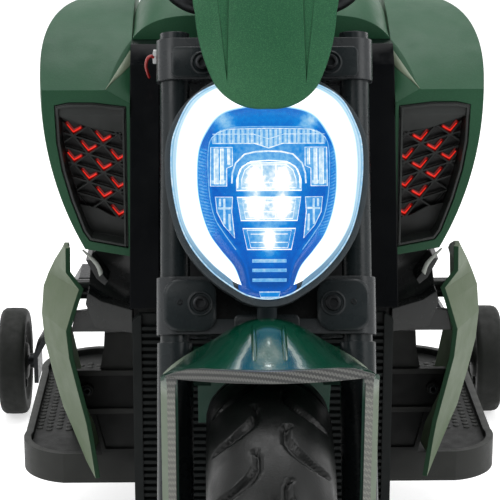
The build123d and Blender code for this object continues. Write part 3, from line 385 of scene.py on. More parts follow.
def flake_paint(name, deep, pale, roughness, coat, coat_roughness, flake, specular=0.5, sheen=0.0,
                second=None, dull=None):
    """Moulded-in green with fine metal flake: speckled cells over slow changes of tone, under a thin coat."""
    finish = Finish(name)
    light = finish.add("SeparateColor")
    finish.put(finish.cells(2600.0, output="Color"), light.inputs["Color"])
    sparkle = finish.range(light.outputs["Red"], 0.55, 1.0, 0.0, flake)
    colour = finish.mix(finish.plus(sparkle, finish.uneven(9.0, 2.0, 0.0, 0.3)), deep, pale)
    rough = finish.uneven(60.0, 4.0, roughness - 0.05, roughness + 0.07)
    if second:
        colour = finish.mix(second[0](finish), colour, second[1])
    if dull:
        shine = dull(finish)
        coat = finish.times(shine, coat)
        rough = finish.plus(rough, finish.range(shine, 0.0, 1.0, 0.5, 0.0))
    peel = finish.bump(finish.noise(330.0, 2.0), 0.00022, 0.35, finish.eased(0.0010))
    normal = finish.bump(light.outputs["Green"], 0.00008, 0.35 * flake, peel)
    return finish.set(
        Base_Color=colour, Metallic=finish.times(sparkle, 0.55), Roughness=rough, Normal=normal,
        Coat_Weight=coat, Coat_Roughness=coat_roughness, Specular_IOR_Level=specular,
        Sheen_Weight=sheen, Sheen_Roughness=0.35, Sheen_Tint=(0.55, 0.8, 0.55))


def moulded(name, colour, roughness, grain=0.5, specular=0.4, coat=0.0, edge=None, tone=0.25, second=None):
    """Moulded plastic: two noises shift its tone and roughness, and a fine grain its surface."""
    finish = Finish(name)
    pale = tuple(min(1.0, c * (1 + tone) + 0.004) for c in colour)
    base = finish.mix(finish.uneven(14.0, 4.0, 0.0, 1.0, 0.15), colour, pale)
    if edge:
        base = finish.mix(finish.range(finish.shape("Pointiness"), 0.52, 0.60, 0.0, 0.6), base, edge)
    if second:
        base = finish.mix(second[0](finish), base, second[1])
    slow = finish.bump(finish.noise(40.0, 2.0), 0.0004, 0.12, finish.eased(0.0013))
    return finish.set(
        Base_Color=base, Roughness=finish.uneven(95.0, 4.0, roughness - 0.06, roughness + 0.08),
        Normal=finish.bump(finish.cells(1500.0), 0.00012, grain, slow),
        Specular_IOR_Level=specular, Coat_Weight=coat, Coat_Roughness=0.06)


def tyre_rubber(name, colour, roughness):
    """Blow-moulded tyre plastic: dull, a little mottled, with dust in the low places."""
    finish = Finish(name)
    dust = finish.range(finish.shape("Pointiness"), 0.40, 0.50, 0.35, 0.0)
    mottle = finish.range(finish.noise(22.0, 5.0), 0.35, 0.7, 0.0, 1.0)
    base = finish.mix(mottle, colour, darker(colour, 1.35))
    return finish.set(
        Base_Color=finish.mix(dust, base, (0.01, 0.01, 0.011)), Specular_IOR_Level=0.30,
        Roughness=finish.uneven(120.0, 4.0, roughness - 0.08, roughness + 0.1),
        Normal=finish.bump(finish.noise(700.0), 0.00025, 0.55))


def weave(name, pitch):
    """Carbon-look film: strands over two, under two, each strand rounded, under a clear coat; paler strands
    on the fender's legs are painted light.
    """
    finish = Finish(name)
    slanted = finish.add("Mapping", Rotation=(0.0, radians(38.0), 0.0))
    finish.put(finish.place(), slanted.inputs["Vector"])
    axis = finish.split(slanted.outputs["Vector"])
    across = finish.math("DIVIDE", axis["X"], pitch)
    along = finish.math("DIVIDE", finish.plus(axis["Z"], axis["Y"]), pitch)
    step = finish.plus(finish.math("FLOOR", across), finish.math("FLOOR", along))
    over = finish.math("LESS_THAN", finish.math("MODULO", finish.plus(step, 4000.0), 4.0), 2.0)
    under = finish.math("SUBTRACT", 1.0, over)
    round_a, round_b = (
        finish.math("SINE", finish.times(finish.math("FRACT", way), pi)) for way in (across, along))
    crown = finish.plus(finish.times(over, round_a), finish.times(under, round_b))
    band = finish.mix(over, (0.040, 0.042, 0.041), (0.135, 0.138, 0.128))
    # Painted light: below 0.318 m the fender's legs get paler strands, standing for the strong light that
    # falls on them.
    lit_leg_tone = finish.mix(over, (0.150, 0.155, 0.138), (0.230, 0.235, 0.205))
    shade = finish.mix(by_place("Z", 0.318, 0.337, 1.0, 0.0)(finish), band, lit_leg_tone)
    gap = finish.range(crown, 0.0, 1.0, 0.4, 0.0)
    return finish.set(
        Base_Color=finish.mix(gap, shade, (0.022, 0.023, 0.022)), Metallic=0.35, Coat_Weight=0.45,
        Coat_Roughness=0.1, Roughness=finish.range(crown, 0.0, 1.0, 0.5, 0.34),
        Normal=finish.bump(crown, 0.0002, 0.5))


def darker(colour, share):
    """A colour times a share."""
    return tuple(c * share for c in colour)


def metal(name, colour, roughness=0.3):
    """Zinc-plated steel: fine cloudy spangle over a finely uneven surface."""
    finish = Finish(name)
    return finish.set(
        Base_Color=finish.mix(finish.cells(240.0), colour, darker(colour, 0.72)), Metallic=0.9,
        Roughness=finish.uneven(300.0, 4.0, roughness - 0.08, roughness + 0.12),
        Normal=finish.bump(finish.noise(420.0, 2.0), 0.00006, 0.4))


def vinyl(name, colour):
    """Grained seat vinyl: wrinkled cells of two sizes."""
    finish = Finish(name)
    coarse, fine = (finish.cells(scale, "DISTANCE_TO_EDGE") for scale in (420.0, 1100.0))
    pores = finish.plus(finish.times(coarse, 1.2), finish.times(fine, 0.6))
    # Painted shade: the grain's creases are darker.
    crease_shade = finish.range(coarse, 0.0, 0.25, 1.0, 0.0)
    return finish.set(
        Base_Color=finish.mix(crease_shade, colour, darker(colour, 0.5)), Specular_IOR_Level=0.45,
        Roughness=finish.range(coarse, 0.0, 0.3, 0.62, 0.42),
        Normal=finish.bump(pores, 0.0005, 0.5, finish.bump(finish.noise(26.0), 0.0012, 0.3)))


def lit(name, colour, strength, base=(0.8, 0.85, 0.9), roughness=0.2):
    """Lit diffuser: its own light, a little uneven along its length, under a smooth face."""
    finish = Finish(name)
    glow = finish.uneven(30.0, 2.0, strength * 0.9, strength * 1.1)
    return finish.set(Emission_Strength=glow, Emission_Color=colour, Base_Color=base, Roughness=roughness)


LAMP_SPREAD = (1.4, 1.0, 0.8)


def lamp_glass(name, lamps):
    """Metallised plastic and clear boxes in blue light, all of it painted light given as emission: each
    point's own painted glow, and a painted pool of light round each lamp that falls as its reach squared over
    the distance squared, longer upright than across."""
    finish = Finish(name)
    stretched = finish.add("Mapping", Scale=LAMP_SPREAD)
    finish.put(finish.place(), stretched.inputs["Vector"])
    glow = finish.mark("glow")
    for at, reach in lamps:
        apart = finish.add("VectorMath", operation="DISTANCE")
        finish.put(stretched.outputs["Vector"], apart.inputs[0])
        apart.inputs[1].default_value = tuple(on_light(at) * MM * LAMP_SPREAD)
        square, reached = finish.math("POWER", apart.outputs["Value"], 2.0), (reach * MM) ** 2
        glow = finish.plus(glow, finish.math("DIVIDE", reached, finish.plus(square, reached * 0.35)))
    glow = finish.times(glow, finish.uneven(330.0, 3.0, 0.88, 1.14))
    colour = finish.ramp(glow, [
        (0.0, (0.0002, 0.032, 0.18)), (0.22, (0.0004, 0.11, 0.56)), (0.42, (0.004, 0.26, 0.76)),
        (0.62, (0.20, 0.54, 0.90)), (0.82, (0.56, 0.80, 0.97)), (1.0, WHITE),
    ])
    return finish.set(
        Emission_Color=colour, Emission_Strength=finish.range(glow, 0.8, 1.6, 0.95, 1.8),
        Normal=finish.bump(finish.noise(500.0, 2.0), 0.0002, 0.3),
        Base_Color=(0.004, 0.02, 0.05), Roughness=0.2, Specular_IOR_Level=0.3)


def ring_glass(name):
    """Light guide: a white core with soft edges, then clear blue glass to its rim, by the share across it."""
    finish = Finish(name)
    across = finish.mark("across")
    colour = finish.ramp(across, [
        (0.0, (0.22, 0.60, 0.92)), (0.05, (0.80, 0.93, 1.0)), (0.14, WHITE), (0.60, WHITE),
        (0.70, (0.72, 0.90, 1.0)), (0.77, (0.40, 0.68, 0.88)), (0.86, (0.58, 0.82, 0.95)),
        (0.92, (0.24, 0.52, 0.74)), (1.0, (0.42, 0.74, 0.88)),
    ])
    rim = finish.range(across, 0.66, 0.74, 0.0, 1.0)
    low = finish.times(by_place("Z", 0.395, 0.450, 0.75, 0.0)(finish), rim)
    strength = finish.ramp(across, [(0.0, 0.8), (0.10, 2.6), (0.58, 2.6), (0.72, 0.95), (1.0, 0.75)])
    return finish.set(
        Emission_Color=finish.mix(low, colour, (0.035, 0.135, 0.27)),
        Emission_Strength=finish.times(strength, finish.uneven(30.0, 2.0, 0.92, 1.08)),
        Base_Color=(0.05, 0.09, 0.13), Roughness=0.12)


def clear_cover(name, tint, share):
    """Thin clear cover: mostly let through, with a glossy face."""
    finish = Finish(name)
    return finish.set(Base_Color=tint, Alpha=share, Roughness=finish.uneven(50.0, 2.0, 0.03, 0.06),
                      IOR=1.45, Specular_IOR_Level=0.4)


def by_place(axis, low, high, start, end):
    """A mask that goes from start to end between two places on an axis, in metres."""
    return lambda finish: finish.range(finish.split()[axis], low, high, start, end)


def lit_outer_skirt(finish):
    """1 on the outsides of the fender's skirts, where a pale sage paints the strong light falling on them, 0
    elsewhere.
    """
    outward = finish.times(finish.split()["X"], finish.split(finish.shape("True Normal"))["X"])
    below = by_place("Z", 0.325, 0.337, 1.0, 0.0)(finish)
    return finish.times(finish.range(outward, 0.020, 0.040, 0.0, 1.0), below)


def shaded_front_face(finish):
    """1 on faces that look straight ahead, where a darker green paints their shade, 0 elsewhere."""
    return finish.range(finish.split(finish.shape("True Normal"))["Y"], -0.85, -0.75, 1.0, 0.0)


UPPER_SHELL = by_place("Z", 0.318, 0.330, 0.0, 1.0)        # the fender's shell, not the parts beside the tyre
# Painted shade: the intake's back behind its lattice is made nearly black.
INTAKE_FLOOR_SHADE = by_place("Y", -0.178, -0.170, 0.0, 0.92)    # the intake's back, behind its lattice

GREEN = flake_paint("green_flake", (0.010, 0.062, 0.027), (0.044, 0.142, 0.072), 0.42, 0.0, 0.2, 0.3, 0.26,
                    0.1)
GREEN_COWL = flake_paint("green_cowl", (0.006, 0.072, 0.028), (0.044, 0.165, 0.072), 0.5, 0.0, 0.25, 0.8,
                         0.25)
# Painted light: the pale sage on the skirts' outsides stands for strong light on them.
GREEN_FENDER = flake_paint("green_fender", (0.0015, 0.040, 0.022), (0.004, 0.066, 0.036), 0.14, 0.4, 0.03,
                           0.2, second=(lit_outer_skirt, (0.16, 0.20, 0.145)), dull=UPPER_SHELL)
# Painted light: the blades' pale sage stands for strong side light on their green, and the darker green on
# faces that look ahead is painted shade.
GREEN_SAGE_LIT = flake_paint("green_sage_lit", (0.082, 0.116, 0.060), (0.108, 0.145, 0.078), 0.5, 0.0, 0.3, 0.2, 0.34,
                         0.1, second=(shaded_front_face, (0.022, 0.070, 0.034)))
# Painted highlight: the pale green of the strips along the shroud's creases.
GREEN_GLINT = flake_paint("green_glint", (0.170, 0.215, 0.145), (0.230, 0.280, 0.195), 0.4, 0.0, 0.3, 0.2,
                          0.4)
BLACK = moulded("black_satin", (0.0050, 0.0056, 0.0060), 0.42, 0.4, 0.16, edge=(0.03, 0.031, 0.032))
BLACK_GLOSS = moulded("black_gloss", (0.0012, 0.0018, 0.0026), 0.16, 0.06, 0.12)
BLACK_DUCT = moulded("black_duct", (0.0042, 0.0054, 0.0058), 0.24, 0.06, 0.26, 0.1, (0.05, 0.052, 0.05))
GREY = moulded("grey_satin", (0.0085, 0.0098, 0.0100), 0.40, 0.35, 0.24, edge=(0.05, 0.052, 0.054))
GREY_FORK = moulded("grey_fork", (0.0085, 0.0130, 0.0145), 0.27, 0.15, 0.28, edge=(0.05, 0.053, 0.056))
BEZEL = moulded("headlight_bezel", (0.026, 0.037, 0.042), 0.36, 0.2, 0.45, edge=(0.05, 0.058, 0.064))
DUCT_GREY = moulded("duct_grey", (0.0150, 0.0180, 0.0165), 0.36, 0.2, 0.38, edge=(0.06, 0.064, 0.062),
                    second=(INTAKE_FLOOR_SHADE, (0.0012, 0.0014, 0.0014)))
RIBBED = moulded("radiator_ribs", (0.0060, 0.0082, 0.0080), 0.42, 0.3, 0.18)
BOARD = moulded("footboard_grain", (0.0055, 0.0062, 0.0058), 0.5, 0.7, 0.2, edge=(0.06, 0.062, 0.058))
CARBON = weave("carbon_weave", 0.0016)
RUBBER = tyre_rubber("tyre_plastic", (0.0044, 0.0050, 0.0048), 0.37)
TRAINING_RUBBER = tyre_rubber("training_wheel_plastic", (0.0034, 0.0046, 0.0032), 0.6)
STEEL = metal("zinc_steel", (0.52, 0.53, 0.55))
# Painted highlight: pale grey standing for the gloss on the duct's fin.
FIN_HIGHLIGHT_GREY = moulded("fin_highlight_grey", (0.30, 0.32, 0.29), 0.35, 0.1, 0.5, tone=0.2)
# Painted light: the dial's white ink glows a little though it is no lamp.
WHITE_INK = lit("dial_white", (0.9, 0.95, 1.0), 0.15, (0.75, 0.78, 0.80), 0.5)
DARK_BOLT = metal("black_bolt", (0.030, 0.032, 0.034), 0.36)
VINYL = vinyl("seat_vinyl", (0.012, 0.012, 0.013))
GRIP = moulded("grip_rubber", (0.008, 0.008, 0.0085), 0.66, 1.0, 0.3)
PLATE = moulded("plate_blank", (0.55, 0.56, 0.56), 0.3, 0.15, 0.4, tone=0.05)
CASE = moulded("case_plastic", (0.03, 0.03, 0.033), 0.5)
RED_DIM = lit("red_diffuser", (0.75, 0.012, 0.008), 0.16, (0.05, 0.002, 0.002))
RED_LIT = lit("red_line", (0.95, 0.030, 0.018), 0.85, (0.2, 0.01, 0.008))
TAIL_RED = moulded("tail_red", (0.30, 0.006, 0.005), 0.16, 0.1, 0.5, 0.6)
LED = lit("led_die", (0.93, 0.98, 1.0), 9.0)
MODULE_SHIFT = 1.6
LAMP_REACH = 5.2
LAMPS = [((MODULE_SHIFT + side * 11, v, -5), LAMP_REACH) for v in (9.5, -10.9) for side in SIDES]
LAMPS += [((MODULE_SHIFT, -38.4, -5), LAMP_REACH)]
LAMP_GLASS = lamp_glass("lamp_glass", LAMPS)
RING_GLASS = ring_glass("ring_light_guide")
CLEAR = clear_cover("clear_cover", (0.01, 0.02, 0.03), 0.03)

# Finish of each of the model's own nodes; a plus stands for left_ and right_
CAD_FINISH = [
    (BLACK, "accelerator_pedal chassis dash levers plate_holder rear_fender"), (CASE, "battery gear_motor"),
    (GREY, "exhaust front_rim rear_rim handlebar_risers +engine_cover +swing_arm"), (CARBON, "fender_trim"),
    (GREY_FORK, "fork_legs lower_clamp upper_clamp"), (STEEL, "front_axle rear_axle steering_stem"),
    (GREEN_FENDER, "front_fender"), (DARK_BOLT, "handlebar +training_bracket"), (CLEAR, "headlight_lens"),
    (BEZEL, "headlight_housing headlight_reflector headlight_ring"), (RED_DIM, "intake_lights"),
    (GREEN_COWL, "nose_cowl"), (PLATE, "number_plate"), (BLACK_GLOSS, "pillars"), (RIBBED, "radiator_panel"),
    (VINYL, "seat"), (GREEN, "tail_cowl tank_cover +shroud"), (TAIL_RED, "tail_light"),
    (RUBBER, "front_tyre rear_tyre"), (BOARD, "+footboard"), (GRIP, "+grip"), (DUCT_GREY, "+intake_grille"),
    (GREEN_SAGE_LIT, "+side_blade"), (BLACK_DUCT, "+side_panel"), (TRAINING_RUBBER, "+training_wheel"),
]
for material, names in CAD_FINISH:
    for name in names.split():
        for start in ("left_", "right_") if name[0] == "+" else ("",):
            shown = nodes[start + name.lstrip("+")].data.materials
            shown.clear()
            shown.append(material)


# Tyres
def tread_depth(around, across, pitch, half_width):
    """Depth of the nearest hooked groove: distance to a bent centre line, within the groove's width."""
    hook = smooth_line([(0.86, 0.02), (0.62, 0.10), (0.36, 0.28), (0.22, 0.52), (0.27, 0.78)], 14)
    hook = hook * np.array([half_width, pitch])
    depth = np.zeros_like(around)
    for mirror, shift in ((1, 0.0), (-1, 0.5)):
        x = across * mirror
        a = (around / pitch + shift) % 1.0 * pitch
        nearest, width = np.full_like(around, 1e9), np.zeros_like(around)
        for turn in (-pitch, 0.0, pitch):
            for k in range(len(hook) - 1):
                start, run = hook[k], hook[k + 1] - hook[k]
                right, ahead = x - start[0], a + turn - start[1]
                s = np.clip((right * run[0] + ahead * run[1]) / (run @ run), 0, 1)
                apart = np.hypot(right - s * run[0], ahead - s * run[1])
                share = (k + s) / (len(hook) - 1)
                closer = apart < nearest
                nearest = np.where(closer, apart, nearest)
                width = np.where(closer, 1.5 + 2.6 * np.sin(pi * np.clip(0.12 + share * 0.88, 0, 1)), width)
        depth = np.maximum(depth, 1 - step_up(nearest, width * 0.66, width))
    return depth


TYRE_PROFILE_POINTS = 97
POINTS_A_PITCH = 32
GROOVE_DEPTH = 4.8


def tyre(name, node, centre, radius, width, body, pitches):
    """Round-crowned tyre: radius less a rounded shoulder, grooves cut into the crown, ribs on the sides."""
    half, seat = width / 2, radius * 0.64
    lean = np.linspace(-1, 1, TYRE_PROFILE_POINTS) * radians(122)
    tube_radius = (radius - seat) / (1 + cos(radians(58)))
    across = half * np.sign(np.sin(lean)) * np.abs(np.sin(lean)) ** 0.92
    height = radius - 0.4 - tube_radius * (1 - np.cos(lean))
    rows, cols = pitches * POINTS_A_PITCH, len(lean)
    angle = turned(rows)[:, None]
    around = np.broadcast_to(angle * radius, (rows, cols))
    x = np.broadcast_to(across, around.shape)
    crown = 1 - step_up(np.abs(x) / half, 0.84, 0.93)
    groove = tread_depth(around, x, 2 * pi * radius / pitches, half) * crown
    turn = np.degrees(np.abs(lean))
    ribs = 0.5 * bell(turn - 84, 2.0) + 0.7 * bell(turn - 103, 2.6)
    seam_and_lips = 0.35 * bell(x, 0.5) + 0.55 * bell(groove - 0.12, 0.10) * crown
    out = seam_and_lips + ribs - GROOVE_DEPTH * groove - 0.55 * crown
    r = height + out * np.cos(lean)
    offset = np.stack([x + out * np.sin(lean), r * np.sin(angle), r * np.cos(angle)], -1)
    piece(name, (centre + offset, grid_quads(rows, cols, True, True)), RUBBER, body, replaces=[node])


tyre("front_tyre_tread", "front_tyre", FRONT_AXLE, 160.0, 96.0, "front_wheel", 20)
tyre("rear_tyre_tread", "rear_tyre", REAR_AXLE, 150.0, 128.0, "rear_wheel", 18)


# Headlight
def mirrored(half):
    """A right half of an outline, bottom to top, with its mirror image back down."""
    half = floats(half)
    return np.concatenate([half, (half * [-1, 1])[::-1][1:]])


RING_INNER = [
    (20, -74), (25.4, -59.7), (35.7, -46.7), (44.7, -33.6), (51, -15.4), (54, 5.5), (52.7, 31.7), (44.3, 50),
    (33.8, 60.5), (18, 65), (0, 66.5),
]
RING_CORE = [
    (28, -70), (43.5, -57), (56.4, -41.4), (65.4, -23), (69.8, 2), (70.6, 26), (67.2, 48), (57, 67.5),
    (42, 79), (21, 85.5), (0, 87.5),
]
RING_OUTER = [
    (25.5, -77.2), (43.5, -63.2), (59.3, -44), (68.6, -23), (74, 5.6), (74.6, 31.8), (71, 48.5), (60, 70),
    (44, 81.5), (22, 88), (0, 89.5),
]
RING_BACK = -8.8
RING_POINTS = 181


def light_ring():
    """Band between smooth outlines: flat share across, height falling as a square at both its edges."""
    inner, core, outer = (
        smooth_line(mirrored(line), RING_POINTS)[:, None] for line in (RING_INNER, RING_CORE, RING_OUTER))
    across = np.array([0, 0.03, 0.07, 0.14, 0.26, 0.4, 0.52, 0.6, 0.66, 0.7, 0.76, 0.83, 0.9, 0.95, 1.0])
    t = across[None, :, None]
    flat = inner + (core - inner) * np.clip(t / 0.7, 0, 1) + (outer - core) * np.clip((t - 0.7) / 0.3, 0, 1)
    height = -0.3 - 3.2 * (1 - np.clip(t / 0.12, 0, 1)) ** 2 - 1.5 * np.clip((t - 0.66) / 0.34, 0, 1) ** 2
    height = height + 0.0 * flat[..., :1]
    sheets = [on_light(np.concatenate([flat, level], -1)) for level in (height, 0.0 * height + RING_BACK)]
    return slab(*sheets), np.tile(across, 2 * len(flat))


ring_shape, ring_share = light_ring()
piece("headlight_ring_guide", ring_shape, RING_GLASS, "fork", 50, ["headlight_ring"],
      {"across": ring_share})

BOWL_EDGE = [
    (0, -84.6), (12, -83), (22, -77.5), (22.5, -70), (26, -59.7), (35.9, -46.7), (44.9, -33.6), (51.2, -15.4),
    (54.2, 5.5), (52.9, 31.7), (44.5, 50), (34, 60.7), (18, 65.2), (0, 66.7),
]
MODULE_EDGE = [
    (0, -79), (9, -78.5), (15, -75), (16.5, -68), (19.5, -57), (26, -46), (36, -32), (43, -19.5), (47, 1.6),
    (47.5, 31.7), (43.5, 43.5), (32.8, 49.7), (18, 50.8), (0, 51),
]
BOWL_BACK = -8.9
BOWL_POINTS = 720


def reflector_bowl():
    """Polar grid from the ring down a concave wall to the module's floor, ribbed on its sides."""
    edge, module = (
        smooth_line(mirrored(line)[:-1], BOWL_POINTS, True)[:, None] for line in (BOWL_EDGE, MODULE_EDGE))
    module = module + [MODULE_SHIFT, 0]
    wall, floor = np.linspace(0, 1, 13), np.linspace(1, 0.02, 16)[1:]
    share = np.concatenate([wall, 2 - floor])[None, :, None]
    centre = np.array([0.0, -5.0])
    s = np.minimum(share, 1.0)
    flat = np.where(share <= 1, edge + (module - edge) * s, centre + (module - centre) * (2 - share))
    u, v = flat[..., :1], flat[..., 1:]
    side = step_up(np.abs(u), 36, 44) * step_up(v, -40, -30) * (1 - step_up(v, 30, 38))
    band = step_up(s, 0.05, 0.12) * (1 - step_up(s, 0.80, 0.88)) * side
    wave = np.abs((v / 2.6 + s * 0.8) % 1.0 - 0.5) * 2
    height = -3.6 - 4.0 * np.sin(s * pi / 2) ** 0.8 - 0.4 * (share > 1.001) + 0.7 * band * wave
    bearing = np.arctan2(np.abs(u), v - 5)
    # Painted light: glow paints the lamps' light and reflections on the bowl, with streaks, lit rib faces, a
    # darker bottom and a brighter top.
    glow = 0.24 + 0.36 * bell(bearing - 0.60, 0.11) * (s < 1) + 0.10 * bell(s - 0.98, 0.04)
    glow = glow + 0.30 * band * (wave - 0.3) + 0.16 * side * (1 - s)
    glow = glow - 0.15 * step_up(-v, 30, 62) + 0.08 * step_up(s, 0.0, 0.5) * step_up(v, 50, 58) * (s < 1)
    inside = 0.14 + 0.05 * step_up(v, -40, 0) + 0.20 * step_up(v, 0, 18) - 0.09 * step_up(-v, 45, 75)
    glow = np.where(share > 1, inside, glow).ravel()
    levels = (height, 0.0 * height + BOWL_BACK)
    sheets = [np.concatenate([flat, level], -1).reshape(-1, 3) for level in levels]
    rows, cols = flat.shape[:2]
    under = rows * cols
    ring = np.arange(rows)[:, None] * cols
    after = np.roll(ring, -1, 0)
    outer = np.concatenate([ring, after, after + under, ring + under], 1)
    top_quads, under_quads = (grid_quads(rows, cols, True, start=start) for start in (0, under))
    inner_loop = np.arange(rows) * cols + cols - 1
    faces = np.concatenate([top_quads, under_quads[:, ::-1], outer]).tolist()
    faces += [inner_loop.tolist(), (inner_loop[::-1] + under).tolist()]
    return (on_light(np.concatenate(sheets)), faces), np.concatenate([glow, glow * 0.5])


bowl_shape, bowl_glow = reflector_bowl()
piece("reflector_bowl", bowl_shape, LAMP_GLASS, "fork", 55, ["headlight_reflector"],
      {"glow": bowl_glow})


def sunk(depth):
    """Depth inside the lamp, drawn up so that everything lies over the housing's seat."""
    return 0.62 * floats(depth) + 1.9


def shifted(points):
    """Points on the lamp's face, moved to the module's middle."""
    return floats(points) + [MODULE_SHIFT, 0]


def stacked(rings, place):
    """Closed solid through outlines at several heights; place turns (across, up, height) into the frame."""
    points = np.concatenate([np.column_stack([line, np.full(len(line), z)]) for line, z in rings])
    return place(points), capped(len(rings), len(rings[0][0]))


def block_on_light(outline, low, high, glow, inset=0.9):
    """Closed prism on the lamp's floor whose top edge is rounded by a smaller copy of its outline."""
    outline, low, high = shifted(outline), sunk(low), sunk(high)
    middle = outline.mean(0)
    small = middle + (outline - middle) * (1 - inset / np.abs(outline - middle).max(0))
    points, faces = stacked([(outline, low), (outline, high - inset * 0.7), (small, high)], on_light)
    return points, faces, np.full(len(points), glow)


def wire_on_light(points, w, radius, glow, closed=True):
    """Thin painted highlight along a line on the lamp's face."""
    path = np.column_stack([shifted(points), np.full(len(points), sunk(w))])
    spots, faces = carried(ring_of(radius, 6), on_light(path), LIGHT_AXES[2], closed)
    return spots, faces, np.full(len(spots), glow)


def ribs_on_light(reach, low, high, w, pitch, rise, glow, swing):
    """Row of upright half-round ribs: height is the size of a sine across, and painted light makes them
    alternately bright and dark, rib by rib.
    """
    u = np.linspace(-reach, reach, 1 + 8 * int(round(2 * reach / pitch)))
    v = low(u) + (high(u) - low(u)) * np.linspace(0, 1, 5)[:, None]
    u = np.broadcast_to(u, v.shape)
    phase = (u + reach) / pitch
    lift = rise * np.abs(np.sin(pi * phase))
    top, under = (on_light(np.stack([u + MODULE_SHIFT, v, sunk(w + up)], -1)) for up in (lift, 0 * lift - 3))
    turn_about = 0.55 + 0.45 * np.sin(pi * (phase + 1) / 2) ** 2
    light = glow + swing * (np.sin(pi * phase) ** 2) ** 0.35 * turn_about
    return *slab(top, under), np.concatenate([light.ravel(), light.ravel()])


CELL = [(28.5, 20), (28.5, 34.5), (45.5, 34.5), (45.8, 4), (33, 4), (33, 18)]
CELL_FOOT = [(34, 6), (45, 6), (45, 8.5), (34, 8.5)]
WING = [(42, -4.6), (28.5, -4.7), (29.2, -16), (27, -37), (35.5, -27), (40.7, -16.5)]
WING_BARS = [
    [(35, -6), (35, -12), (35, -26)], [(30, -13.5), (35, -13.5), (40, -13.5)],
    [(31, -18), (31, -25), (30.5, -31)], [(38.4, -6), (38.4, -9), (38.4, -12)],
]
LENS_BOXES = [
    ([(-25.5, 0.4), (25.5, 0.4), (25.2, 9), (22.5, 17), (16.5, 22), (-16.5, 22), (-22.5, 17),
      (-25.2, 9)], 0.46),
    ([(-25, -5), (25, -5), (22, -23.3), (-22, -23.3)], 0.46),
    ([(-20.7, -29.6), (20.7, -29.6), (17.2, -46), (-17.2, -46)], 0.30),
]


def lamp_module():
    """Everything inside the bowl: ribs, side cells, wings, arch, lens boxes, bars and the painted highlights
    along their edges; each part's glow is painted light.
    """
    def notch(u):
        return 37.5 - 3.7 * np.clip(1 - np.abs(u) / 11, 0, 1)

    def crown(u):
        return 48.6 - 6.0 * step_up(np.abs(u), 33, 45) ** 2

    parts = [ribs_on_light(44, notch, crown, -13.5, 3.667, 1.2, 0.34, 0.46)]

    def wire(*values):
        parts.append(wire_on_light(*values))

    def line(*values):
        parts.append(wire_on_light(*values, False))

    def block(*values):
        parts.append(block_on_light(*values))

    wire([(-44, 37.5), (-11, 37.5), (0, 33.8), (11, 37.5), (44, 37.5), (44.5, 42), (40, 46), (32, 48.8),
          (0, 49.4), (-32, 48.8), (-40, 46), (-44.5, 42)], -12.4, 0.35, 0.80)
    line(smooth_line(mirrored(MODULE_EDGE[5:]), 120), -15.4, 0.35, 0.60)
    line([(-44, 44.8), (-12, 44.8), (0, 41), (12, 44.8), (44, 44.8)], -11.8, 0.3, 0.78)
    line(mirrored([(29, 6), (28.6, 14), (26, 22), (19, 29), (10, 31), (0, 31.4)]), -12.5, 0.6, 0.8)
    line(mirrored([(24.5, 2), (24, 12), (21, 19), (14, 23), (0, 24)]), -11.0, 0.45, 0.9)
    for side in SIDES:
        cell = np.array(CELL) * [side, 1]
        block(cell, -17, -14.8, 0.5)
        wire(cell, -13.8, 0.4, 0.84)
        for u, low, mid, width in ((36.6, 5.5, 20.0, 1.5), (41.2, 5.5, 20.0, 1.9), (31.2, 21.0, 27.0, 1.1)):
            bar = np.array([(u, low), (u, mid), (u, 33.5)]) * [side, 1]
            line(bar, -13.6, width, 0.80)
            line(bar + [side * width * 0.75, 0], -12.6, 0.35, 1.0)
        block(np.array(CELL_FOOT) * [side, 1], -15, -12.6, 0.74, 0.5)
        wing = np.array(WING) * [side, 1]
        block(wing, -17, -14.8, 0.42)
        wire(wing, -13.8, 0.35, 0.82)
        for bar in WING_BARS:
            line(np.array(bar) * [side, 1], -13.4, 0.85, 0.76)
    for outline, glow in LENS_BOXES:
        middle = np.mean(outline, 0)
        inner = middle + (np.array(outline) - middle) * 0.84
        block(outline, -17, -12.2, glow)
        block(inner, -13, -10.8, glow + 0.04, 0.6)
        wire(outline, -11.9, 0.45, 0.86)
        wire(inner, -10.6, 0.3, 0.8)
    for v, reach in ((6.5, 19.0), (-9.0, 19.0), (-16.5, 19.0), (-34.0, 14.5), (-40.5, 14.5)):
        line([(-reach, v), (0, v), (reach, v)], -10.4, 0.35, 0.72)
    for u in (-5.5, 5.5):
        line([(u, 2), (u, 10), (u, 21)], -10.4, 0.4, 0.85)
        line([(u * 0.9, -6), (u * 0.9, -14), (u * 0.9, -22)], -10.4, 0.35, 0.8)
    for v in (-54.8, -62.2, -69.9):
        block([(-13.4, v - 1.3), (13.4, v - 1.3), (13.4, v + 1.3), (-13.4, v + 1.3)], -18, -13.5, 0.52, 0.5)
    clip = [(-8.2, -79.5), (8.2, -79.5), (7.0, -83.6), (-7.0, -83.6)]
    block(clip, -12, -5.6, 0.36, 0.5)
    wire(clip, -5.2, 0.4, 0.78)
    bead = mirrored([(0, -84.9), (12, -83.2), (24, -77.8)] + RING_OUTER[1:])[:-1] - [MODULE_SHIFT, 0]
    wire(smooth_line(bead, 160, True), -4.6, 0.55, 0.76)
    return joined([part[:2] for part in parts]), np.concatenate([glow for *shape, glow in parts])


module_shape, module_glow = lamp_module()
piece("lamp_module", module_shape, LAMP_GLASS, "fork", 35, marks={"glow": module_glow})


def led_dies():
    """Low domes over the five diodes: a quarter circle of profile turned round the way out of the face."""
    lean = np.linspace(0, pi / 2, 6)
    profile = [(-1.5, 0.05), (-1.5, 2.6)] + list(zip(2.0 * np.sin(lean), 2.6 * np.cos(lean) + 0.03))
    floor = sunk(-10.4)
    return joined([spun(profile, on_light((u, v, floor)), LIGHT_AXES[2], 20) for (u, v, w), reach in LAMPS])


piece("led_dies", led_dies(), LED, "fork", 60)


